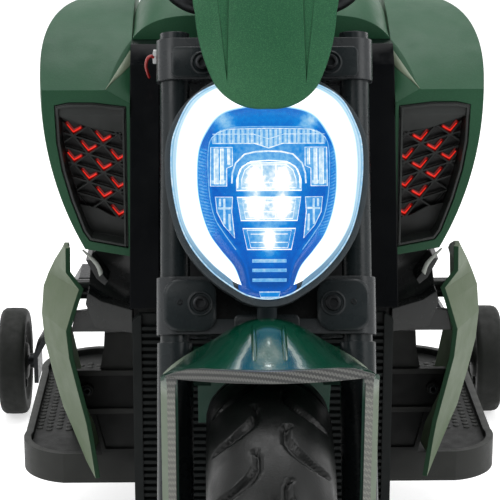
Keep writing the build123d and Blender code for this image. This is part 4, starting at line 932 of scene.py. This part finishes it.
# Lights in the intakes
NEON_Y = -168.6
NEON_NODE, NEON_STEEP, NEON_FLAT = np.array([(136.8, 431.3), (-12.6, -16.3), (-12.6, 8.4)])
NEON_LIT = [(-2, 0), (-1, 1), (-1, 0), (0, 0), (0, -1), (1, -1), (0, 1), (1, 0), (2, -1), (-1, -1)]


def neon_lines():
    """Thin bright V on the lower edge of each lit mark, carried along its two strokes."""
    parts = []
    for i, j in NEON_LIT:
        strokes = np.array([(6.0, 8.8), (3.2, 5.4), (0.3, 2.6), (-3.0, 4.4), (-5.9, 6.2)])
        strokes = strokes + NEON_NODE + i * NEON_STEEP + j * NEON_FLAT
        for side in SIDES:
            path = np.column_stack([strokes[:, 0] * side, np.full(5, NEON_Y), strokes[:, 1]])
            parts.append(carried(ring_of(0.75, 8), path, (0, -1.0, 0)))
    return joined(parts)


piece("intake_neon_lines", neon_lines(), RED_LIT, "chassis", 60)

# Fender ridges
SLOT_X = 11.3
SLOT_RAY_X = 0.0086    # metres, beside the slot
SLOT_ENDS = (-434.5, -379.5)


def fender_ridges():
    """Two ridges along the hood's slots: each crown is a parabola across, fading out at both ends."""
    y = np.linspace(*SLOT_ENDS, 16)[:, None]
    hood = nodes["front_fender"].ray_cast
    roof = np.array([hood((SLOT_RAY_X, v * MM, 0.5), (0, 0, -1))[1].z / MM for v in y[:, 0]])[:, None]
    across = np.linspace(-1, 1, 9)[None, :]
    fade = np.sin(np.linspace(0.06, 0.94, 16) * pi)[:, None] ** 0.6
    x = SLOT_X + 2.4 * across * (0.45 + 0.55 * fade)
    y = y + 0 * x
    top = np.stack([x, y, roof - 0.5 + 2.4 * fade * (1 - across ** 2)], -1)
    return mirrored_pair(*slab(top, np.stack([x, y, roof - 2.6 + 0 * x], -1)))


piece("fender_ridges", fender_ridges(), GREEN_FENDER, "fork", 60)


# Turned, padded and pressed shapes
def rounded_box(middle, half_wide, half_high, radius, count=32):
    """Outline of a box with round corners: a circle whose quarters are moved out to the corners."""
    angle = (np.arange(count) + 0.5) / count * 2 * pi
    across, up = np.cos(angle), np.sin(angle)
    return np.stack([middle[0] + np.sign(across) * (half_wide - radius) + radius * across,
                     middle[1] + np.sign(up) * (half_high - radius) + radius * up], -1)


def pressed_pad(outline, low, high, place, inset):
    """Closed pad over an outline, its upper edge rounded; place turns (across, up, height) into the frame."""
    outline = floats(outline)
    middle, reach = (outline.max(0) + outline.min(0)) / 2, (outline.max(0) - outline.min(0)) / 2
    small = middle + (outline - middle) * (1 - inset / reach)
    rings = [(outline, low), (outline, high - inset * 0.6), ((outline + small) / 2, high - inset * 0.15)]
    return stacked(rings + [(small, high)], place)


def on_clamp(points):
    """(across, up the steering axis, out in front of it) in the bike's frame."""
    across, up, out = floats(points).T
    return steered(np.stack([across, -out, up], -1))


def welt(centre, axis, radius, thick, height=1.2):
    """Raised ring round a recess: a rounded rectangle of profile turned once."""
    slope, base, outer = height * 0.7, -0.5, radius + thick
    profile = [(base, radius), (slope, radius), (height, radius + thick * 0.3),
               (height, radius + thick * 0.7), (slope, outer), (base, outer)]
    return spun(profile, centre, axis, 32)


# Fork hardware
FORWARD = -STEER_AXES[1]
LOWER_CHEEK, UPPER_CHEEK = 56.4, 54.4
LOWER_BOLTS = [(side * 52.5, 212.0, LOWER_CHEEK) for side in SIDES]
UPPER_BOLTS = [(x, 407.0, UPPER_CHEEK) for x in (-50.0, 52.5)]
YOKE_FACE = 52.6


def yoke_pads():
    """Cheeks of both yokes between the tube and the bolt, with rings round the bolts."""
    pads = [((0.0, 196.5), 26.0, 6.6, 4.0, 54.4, 0.9)]
    for side in SIDES:
        pads += [((side * 61.0, 210.8), 21.0, 20.6, 12.0, 56.6, 2.4),
                 ((side * 60.0, 408.0), 15.5, 12.5, 5.0, 54.6, 1.0)]
    parts = [pressed_pad(rounded_box(*box), YOKE_FACE, top, on_clamp, inset) for *box, top, inset in pads]
    rings = [(at, 8.4, 1.4) for at in LOWER_BOLTS] + [(at, 8.0, 1.3) for at in UPPER_BOLTS]
    return joined(parts + [welt(on_clamp([at])[0], FORWARD, radius, thick) for at, radius, thick in rings])


def fork_bolts():
    """Socket screws on both yokes, square to the steering axis, with small screws beside them."""
    places = [(at, 6.2) for at in LOWER_BOLTS + UPPER_BOLTS]
    places += [((side * 69.0, 213.0, 56.0), 2.4) for side in SIDES] + [((0.0, 197.0, 54.2), 5.2)]
    return joined([bolt(on_clamp([at])[0], FORWARD, r, 3.6 * r / 6.2, r * 0.52) for at, r in places])


piece("yoke_cheeks", yoke_pads(), GREY_FORK, "fork", 38)
piece("fork_bolts", fork_bolts(), DARK_BOLT, "fork", 40)


# Training wheels
def training_wheel(side):
    """Profile of a domed tread, rounded shoulders, dished sides and a hub, turned round its axle."""
    lean = np.linspace(0, pi / 2, 7)
    shoulder = np.stack([8.0 + 7.5 * np.sin(lean), 57.5 + 6.3 * np.cos(lean)], -1)
    half = np.array([(0, 64.0), (4, 63.95), *shoulder, (15.5, 50), (14.6, 47.5), (11.5, 46.2), (9.5, 44),
                     (9.0, 40), (9.0, 25), (10, 22.5), (14.2, 21.5), (15.2, 20), (15.2, 6.5)])
    profile = np.concatenate([half, (half * [-1, 1])[::-1][:-1]])
    profile[:, 1] += (0.22 * np.sin(profile[:, 0] * 2.4) - 0.25) * (profile[:, 1] > 60)
    centre = TRAINING_AXLE * [side, 1, 1]
    parts = [spun(profile, centre, (1, 0, 0), 72)]
    for face in SIDES:
        disc, out = centre + [face * 8.8, 0, 0], (face, 0, 0)
        parts += [bolt(disc + [0, 33 * cos(a), 33 * sin(a)], out, 5.5, 3.4, 2.6) for a in turned(5)]
        parts.append(welt(disc, out, 38.6, 1.8, 1.4))
    return joined(parts)


for side, name in ((1, "left_training_"), (-1, "right_training_")):
    piece(name + "tyre", training_wheel(side), TRAINING_RUBBER, name + "wheel", 45, [name + "wheel"])


# Axle nuts, covers and small screws
COVER_FACE, COVER_MIDDLE = 147.8, (26, 200)


def side_bolts():
    """Screws that look sideways: round covers of the engine, the axle ends and the pillars."""
    parts = []
    y, z = COVER_MIDDLE
    for side in SIDES:
        out = (side, 0, 0)
        ring = [(side * (COVER_FACE + 0.2), y + 22 * cos(a), z + 22 * sin(a)) for a in turned(5) + 0.3]
        parts += [bolt(at, out, 3.4, 2.4, 1.7) for at in ring]
        parts.append(welt((side * COVER_FACE, y, z), out, 12.0, 2.2, 1.6))
        parts.append(bolt((side * 143.8, 104, 196), out, 7.0, 3.0, 3.2))
        parts.append(bolt((side * 126.0, 372, 150), out, 11.0, 7.0, 5.0))
    return joined(parts)


def duct_screws():
    """Screws that look ahead, under the shrouds and on the blades' lugs."""
    parts = []
    for side in SIDES:
        parts.append(bolt((side * 131.5, -172.4, 301), AHEAD, 4.4, 2.6, 2.0))
        parts.append(welt((side * 131.5, -171.9, 301), AHEAD, 8.5, 1.8, 1.6))
        parts.append(bolt((side * 160.0, -116.0, 211), AHEAD, 4.2, 2.0, 1.8))
    return joined(parts)


axle_nuts = joined([bolt((side * 88.0, -400, 160), (side, 0, 0), 9.5, 6.4, 4.4) for side in SIDES])
piece("side_screws", side_bolts(), DARK_BOLT, "chassis", 40)
piece("front_axle_nuts", axle_nuts, STEEL, "fork", 40)
piece("duct_screws", duct_screws(), GREY_FORK, "chassis", 40)


# Painted highlights: pale strips along the shroud's creases and over the duct fins
def crease_highlight():
    """Painted highlight: a thin pale strip along the shroud's front corner, wider towards its upper end."""
    start, end, inner = np.array([(133.0, -192.0, 507.5), (113.5, -141.5, 533.0), (112.5, -192.0, 495.5)])
    run, inward = end - start, inner - start
    inward -= inward @ run / (run @ run) * run
    inward /= np.linalg.norm(inward)
    out = np.cross(run, inward)
    out *= -np.sign(out[1]) / np.linalg.norm(out)
    t = np.linspace(0.01, 0.97, 14)[:, None, None]
    s = np.linspace(0, 1, 5)[None, :, None]
    width = 0.6 + 6.5 * np.sin(t * pi * 0.62) ** 1.6
    flat = start + run * t + inward * width * s
    return mirrored_pair(*slab(flat + out * (0.25 + 0.5 * np.sin(s * pi)), flat - out * 0.6))


def duct_fin_highlight():
    """Painted highlight: a narrow pale leaf from the shroud's lower corner down over the duct, its half-width
    growing by a power along it.
    """
    spine = [(-155.5, -191, 367.0), (-149, -193, 361), (-142.5, -194, 353.5), (-139.6, -194, 345.5)]
    line = smooth_line(spine, 20)
    half = 0.5 + 1.9 * np.linspace(0, 1, 20)[:, None] ** 0.8
    across = np.linspace(-1, 1, 7)[None, :]
    flat = line[:, None] + (half * across)[..., None] * np.array([0.72, 0.0, 0.69])
    top = flat - np.array([0, 1.2, 0]) * (1 - across ** 2)[..., None]
    return mirrored_pair(*slab(top, flat + np.array([0, 1.2, 0])))


piece("shroud_crease_highlights", crease_highlight(), GREEN_GLINT, "chassis", 60)
piece("duct_fin_highlights", duct_fin_highlight(), FIN_HIGHLIGHT_GREY, "chassis", 60)


# Wire at the right-hand pillar
def loose_wire():
    """Red lead from a white plug: a round section along a smooth loop."""
    path = smooth_line([(-89.5, -233, 541.0), (-92, -235, 543.4), (-95.2, -235, 541.5), (-96.8, -234, 536.0),
                        (-96.0, -231, 530.0), (-94.5, -226, 524.0)], 40)
    return carried(ring_of(1.35, 10), path, AHEAD)


def wire_plug():
    """Small two-step plug, each step a rounded box pressed forward."""
    def ahead(points):
        return np.stack([points[:, 0], -232.0 - points[:, 2], points[:, 1]], -1)
    return joined([pressed_pad(rounded_box((-87.6, 541.5), 3.6, 4.6, 1.0, 16), -4, 3.0, ahead, 0.7),
                   pressed_pad(rounded_box((-88.2, 545.6), 2.6, 2.2, 0.7, 16), -3, 4.2, ahead, 0.5)])


piece("loom_lead", loose_wire(), TAIL_RED, "chassis")
piece("loom_plug", wire_plug(), PLATE, "chassis", 40)

# Grips, dials and tread domes
GRIP_START = np.array([156.7, -153.7, 649.7])
GRIP_WAY = np.array([0.9398, 0.3366, 0.0561])
RIB_PITCH = 6.2


def grip_sleeve(side):
    """Ribbed sleeve: radius less a groove wherever the sine along it dips, with a flange and a closed end."""
    along = np.linspace(4.5, 112, 130)
    ribs = 15.4 + 1.0 * step_up(np.sin(along * 2 * pi / RIB_PITCH), -0.4, 0.3) * step_up(along, 12, 14)
    ribs = ribs * (1 - 0.25 * step_up(along, 109, 113))
    flange = [(0.2, 11.3), (0.2, 23.5), (1.0, 24.3), (3.0, 24.3), (4.0, 23.5), (4.0, 17.0)]
    cap = [(116.0, 11.0), (116.9, 8.0), (116.9, 0.6), (113, 0.6), (112.5, 11.3)]
    mirror = np.array([side, 1, 1])
    return spun([*flange, *zip(along, ribs), *cap], GRIP_START * mirror, GRIP_WAY * mirror, 40)


for side, name in ((1, "left_grip"), (-1, "right_grip")):
    piece(name + "_sleeve", grip_sleeve(side), GRIP, "fork", 40, [name])


def on_dash(points):
    """(across, up the dash, height over its recess) in the bike's frame."""
    return steered(floats(points) + [0, -46, 464.6])


def turned_way(degrees):
    """Direction at an angle on the dash."""
    return np.array([cos(radians(degrees)), sin(radians(degrees))])


def dial_marks():
    """Ticks round a dial, long at every third, and a tapered needle."""
    parts = []
    for k in range(25):
        out = turned_way(225 - k * 270 / 24)
        length, half = (2.2, 0.22) if k % 3 else (3.8, 0.38)
        wide = np.array([-out[1], out[0]]) * half
        start, end = out * 15.5, out * (15.5 - length)
        tick = [start - wide, start + wide, end + wide, end - wide]
        parts.append(pressed_pad(tick, 0.2, 0.7, on_dash, 0.02))
    way = turned_way(62)
    needle = np.array([(-1.0, -3.0), (1.0, -3.0), (0.25, 12.5), (-0.25, 12.5)]) @ [way, [-way[1], way[0]]]
    return joined(parts + [pressed_pad(needle, 0.8, 1.5, on_dash, 0.05)])


def dial(profile):
    """A profile turned round the dial's middle."""
    return spun(profile, on_dash((0, 0, 0)), STEER_AXES[2])


DIAL_FACE = [(-0.2, 0.4), (-0.2, 17.6), (0.25, 17.6), (0.3, 0.4)]
DIAL_BEZEL = [(-0.2, 17.2), (2.2, 17.2), (3.0, 18.0), (3.0, 19.6), (2.0, 20.6), (1.2, 20.6)]
DIAL_HUB = [(0.2, 0.3), (0.2, 2.2), (1.6, 2.2), (2.1, 1.5), (2.2, 0.3)]
piece("dial_face", dial(DIAL_FACE), BLACK, "fork", 40)
piece("dial_bezel", dial(DIAL_BEZEL), STEEL, "fork", 40)
piece("dial_marks", dial_marks(), WHITE_INK, "fork", 40)
piece("dial_hub", dial(DIAL_HUB), DARK_BOLT, "fork", 40)

BOARD_TOP = 140.0
DOME_PITCH = 9.5


def tread_domes():
    """Rows of low domes on both footboards: one small dome's points plus every centre."""
    dome, faces = stacked([(ring_of(r, 8), z) for r, z in ((3.4, -0.3), (3.2, 0.6), (1.9, 1.2))], floats)
    x, y = np.meshgrid(np.arange(166, 214, DOME_PITCH), np.arange(-30, 165, DOME_PITCH), indexing="ij")
    y = y + (np.arange(len(x)) % 2)[:, None] * DOME_PITCH / 2
    centres = np.stack([x.ravel(), y.ravel(), np.full(x.size, BOARD_TOP)], -1)
    return mirrored_pair(*joined([(dome + centre, faces) for centre in centres]))


piece("footboard_domes", tread_domes(), BOARD, "chassis", 50)


# Rear: lamp ribs, silencer rims, filler cap
def tail_ribs():
    """Upright ridges over the lamp: depth is the size of a sine across, cut to the lamp's slant."""
    x = np.linspace(-1, 1, 97)[None, :]
    t = np.linspace(0, 1, 9)[:, None]
    ridge = 1.3 * np.abs(np.sin(x * pi * 8)) * np.sin(np.clip(t, 0.02, 0.98) * pi) ** 0.3
    across, z = x * (47.5 + 5.2 * t), 431.5 + 17.0 * t + 0 * x
    return slab(*(np.stack([across, depth, z], -1) for depth in (486.2 + ridge, 485.0 + 0 * ridge)))


SILENCER_WAY = np.array([0.0, cos(radians(5.0)), sin(radians(5.0))])
SILENCER_RIM = [(-7, 23.1), (1.2, 23.1), (2.4, 22.2), (2.4, 17.6), (1.0, 16.6), (-6, 16.6), (-6, 17.2),
                (0.0, 17.4), (-5.0, 22.9)]
FILLER_RIM = [(0.0, 19.4), (0.0, 24.6), (1.6, 24.6), (2.4, 23.8), (2.4, 20.0), (1.8, 19.4)]
silencer_rims = [spun(SILENCER_RIM, np.array([-117.0, 172.0, z]) + 158.0 * SILENCER_WAY, SILENCER_WAY)
                 for z in (206, 256)]
filler_rim = [spun(FILLER_RIM, (0, -58, 591.6), (0, 0, 1))]
filler_rim += [bolt((21.9 * cos(a), -58 + 21.9 * sin(a), 593.6), (0, 0, 1), 1.6, 1.4, 0.8) for a in turned(6)]
piece("tail_lamp_ribs", tail_ribs(), TAIL_RED, "chassis", 40)
piece("silencer_rims", joined(silencer_rims), STEEL, "chassis", 40)
piece("filler_rim", joined(filler_rim), STEEL, "chassis", 40)

# Seat
SEAT_SWELL = 0.006
SEAT_SEAMS = (0.115, 0.150, 0.185, 0.220, 0.255)
SEAT_GRAIN = 0.005
SEAT_SLACK = 0.0035
SEAM_WIDTH, SEAM_DEPTH = 0.0026, 0.0030
CLOTH_STEPS = 20


def read_points(mesh):
    """Places and normals of a mesh's points."""
    values = []
    for key in ("co", "normal"):
        values.append(np.empty(len(mesh.vertices) * 3))
        mesh.vertices.foreach_get(key, values[-1])
    return [value.reshape(-1, 3) for value in values]


def settled(made):
    """A mesh with the object's modifiers worked in."""
    return bpy.data.meshes.new_from_object(made.evaluated_get(bpy.context.evaluated_depsgraph_get()))


def seat_pad():
    """The seat's own shape filled by cloth under pressure, then quilted: each groove is a bell curve."""
    body = bpy.data.meshes.new("seat_pad")
    grown = bmesh.new()
    grown.from_mesh(nodes["seat"].data)
    bmesh.ops.remove_doubles(grown, verts=grown.verts, dist=1e-5)
    grown.to_mesh(body)
    grown.free()
    made = placed("seat_pad", body)
    even = made.modifiers.new("even", "REMESH")
    even.mode = "VOXEL"
    even.voxel_size = SEAT_GRAIN
    made.data = settled(made)
    made.modifiers.clear()
    place, normal = read_points(made.data)
    floor = np.interp(place[:, 1], [0.036, 0.300, 0.340], [0.364, 0.372, 0.410])
    loose = step_up(place[:, 2] - floor, 0.006, 0.016)[:, None]
    start = place - normal * SEAT_SLACK * loose
    made.data.vertices.foreach_set("co", start.ravel())
    held = made.vertex_groups.new(name="held")
    held.add(np.flatnonzero(loose < 0.5).tolist(), 1.0, "REPLACE")
    cloth = made.modifiers.new("cloth", "CLOTH").settings
    cloth.use_pressure = True
    cloth.uniform_pressure_force = 4.0
    cloth.effector_weights.gravity = 0.0
    cloth.vertex_group_mass = "held"
    for step in range(1, CLOTH_STEPS + 1):
        bpy.context.scene.frame_set(step)
    shift = read_points(settled(made))[0] - start
    made.modifiers.clear()
    bpy.context.scene.frame_set(1)
    size = np.linalg.norm(shift, axis=1)[:, None]
    start = start + shift * np.minimum(1, SEAT_SWELL / np.maximum(size, 1e-9)) * loose
    made.data.vertices.foreach_set("co", start.ravel())
    finer = made.modifiers.new("finer", "SUBSURF")
    finer.levels = finer.render_levels = 1
    made.data = settled(made)
    made.modifiers.clear()
    place, normal = read_points(made.data)
    bow = place[:, 1] + 0.9 * place[:, 0] ** 2
    groove = sum(bell(bow - y, SEAM_WIDTH) for y in SEAT_SEAMS)
    place -= normal * (SEAM_DEPTH * groove * step_up(normal[:, 2], 0.35, 0.8))[:, None]
    made.data.vertices.foreach_set("co", place.ravel())
    made.data.polygons.foreach_set("use_smooth", np.full(len(made.data.polygons), True))
    made.data.materials.clear()
    made.data.materials.append(VINYL)
    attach(made, "chassis")
    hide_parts("seat")


seat_pad()

# Stage
WORLD_LEVEL = 0.45
FLOOR_REACH = 14.0
LAMP_AIM = Vector((0, 0, 0.35))
STUDIO_LAMPS = [
    ("key", (-1.5, -2.2, 2.6), 1.6, 28.0), ("fill", (1.9, -1.6, 1.9), 1.6, 18.0),
    ("top", (0.0, 0.3, 2.8), 2.2, 42.0), ("back_left", (-2.2, 1.6, 1.2), 1.6, 15.0),
    ("back_right", (2.2, 1.6, 1.2), 1.6, 15.0),
]


def surroundings():
    """White world, dimmer for the light it sheds, and with bright sides and back only in mirrors."""
    world = bpy.data.worlds.new("studio")
    bpy.context.scene.world = world
    world.use_nodes = True
    graph = Graph(world.node_tree)
    math, times, plus = graph.math, graph.times, graph.plus
    path = graph.add("LightPath").outputs
    way = graph.split(graph.add("TexCoord").outputs["Generated"])
    wide = times(math("SUBTRACT", math("ABSOLUTE", way["X"]), 0.35), 2.2, True)
    behind = times(math("SUBTRACT", way["Y"], 0.05), 2.5, True)
    above = times(way["Z"], 0.25, True)
    mirror = plus(times(math("MAXIMUM", wide, behind), 0.75), plus(above, 0.10))
    seen = math("MAXIMUM", path["Is Camera Ray"], path["Is Transmission Ray"])
    plain = plus(times(seen, 1 - WORLD_LEVEL), WORLD_LEVEL)
    glossy = path["Is Glossy Ray"]
    shade = world.node_tree.nodes["Background"].inputs
    graph.put(plus(times(plain, math("SUBTRACT", 1.0, glossy)), times(mirror, glossy)), shade["Strength"])
    graph.put(WHITE, shade["Color"])


def white_floor():
    """White floor that keeps the shadow: a square with a little light of its own."""
    mesh = bpy.data.meshes.new("floor")
    corners = [(x * FLOOR_REACH, y * FLOOR_REACH, 0) for x, y in ((-1, -1), (1, -1), (1, 1), (-1, 1))]
    mesh.from_pydata(corners, [], [(0, 1, 2, 3)])
    finish = Finish("floor_white")
    path = finish.add("LightPath").outputs
    shown = finish.math("MAXIMUM", path["Is Camera Ray"], path["Is Transmission Ray"])
    dimmer = finish.times(path["Is Glossy Ray"], 0.4)
    mesh.materials.append(finish.set(
        Base_Color=(0.86, 0.86, 0.86), Roughness=finish.uneven(3.0, 3.0, 0.55, 0.65), Specular_IOR_Level=0.2,
        Emission_Color=WHITE, Emission_Strength=finish.times(finish.math("MAXIMUM", shown, dimmer), 0.62)))
    placed("floor", mesh)


def studio_lamps():
    """Soft square lamps that look at the bike."""
    for name, place, size, power in STUDIO_LAMPS:
        data = bpy.data.lights.new(name, "AREA")
        data.shape = "SQUARE"
        data.size = size
        data.energy = power
        aimed(placed(name, data), place, LAMP_AIM - Vector(place))


def camera():
    """Camera at the photograph's viewing angle."""
    data = bpy.data.cameras.new("photo_camera")
    data.lens = CAMERA_LENS
    data.sensor_width = CAMERA_SENSOR
    data.clip_end = CAMERA_REACH
    level = cos(CAMERA_DOWN)
    look = (sin(CAMERA_PAN) * level, cos(CAMERA_PAN) * level, -sin(CAMERA_DOWN))
    bpy.context.scene.camera = aimed(placed("photo_camera", data), CAMERA_PLACE, look)


surroundings()
white_floor()
studio_lamps()
camera()
bpy.context.scene.view_settings.view_transform = "Standard"
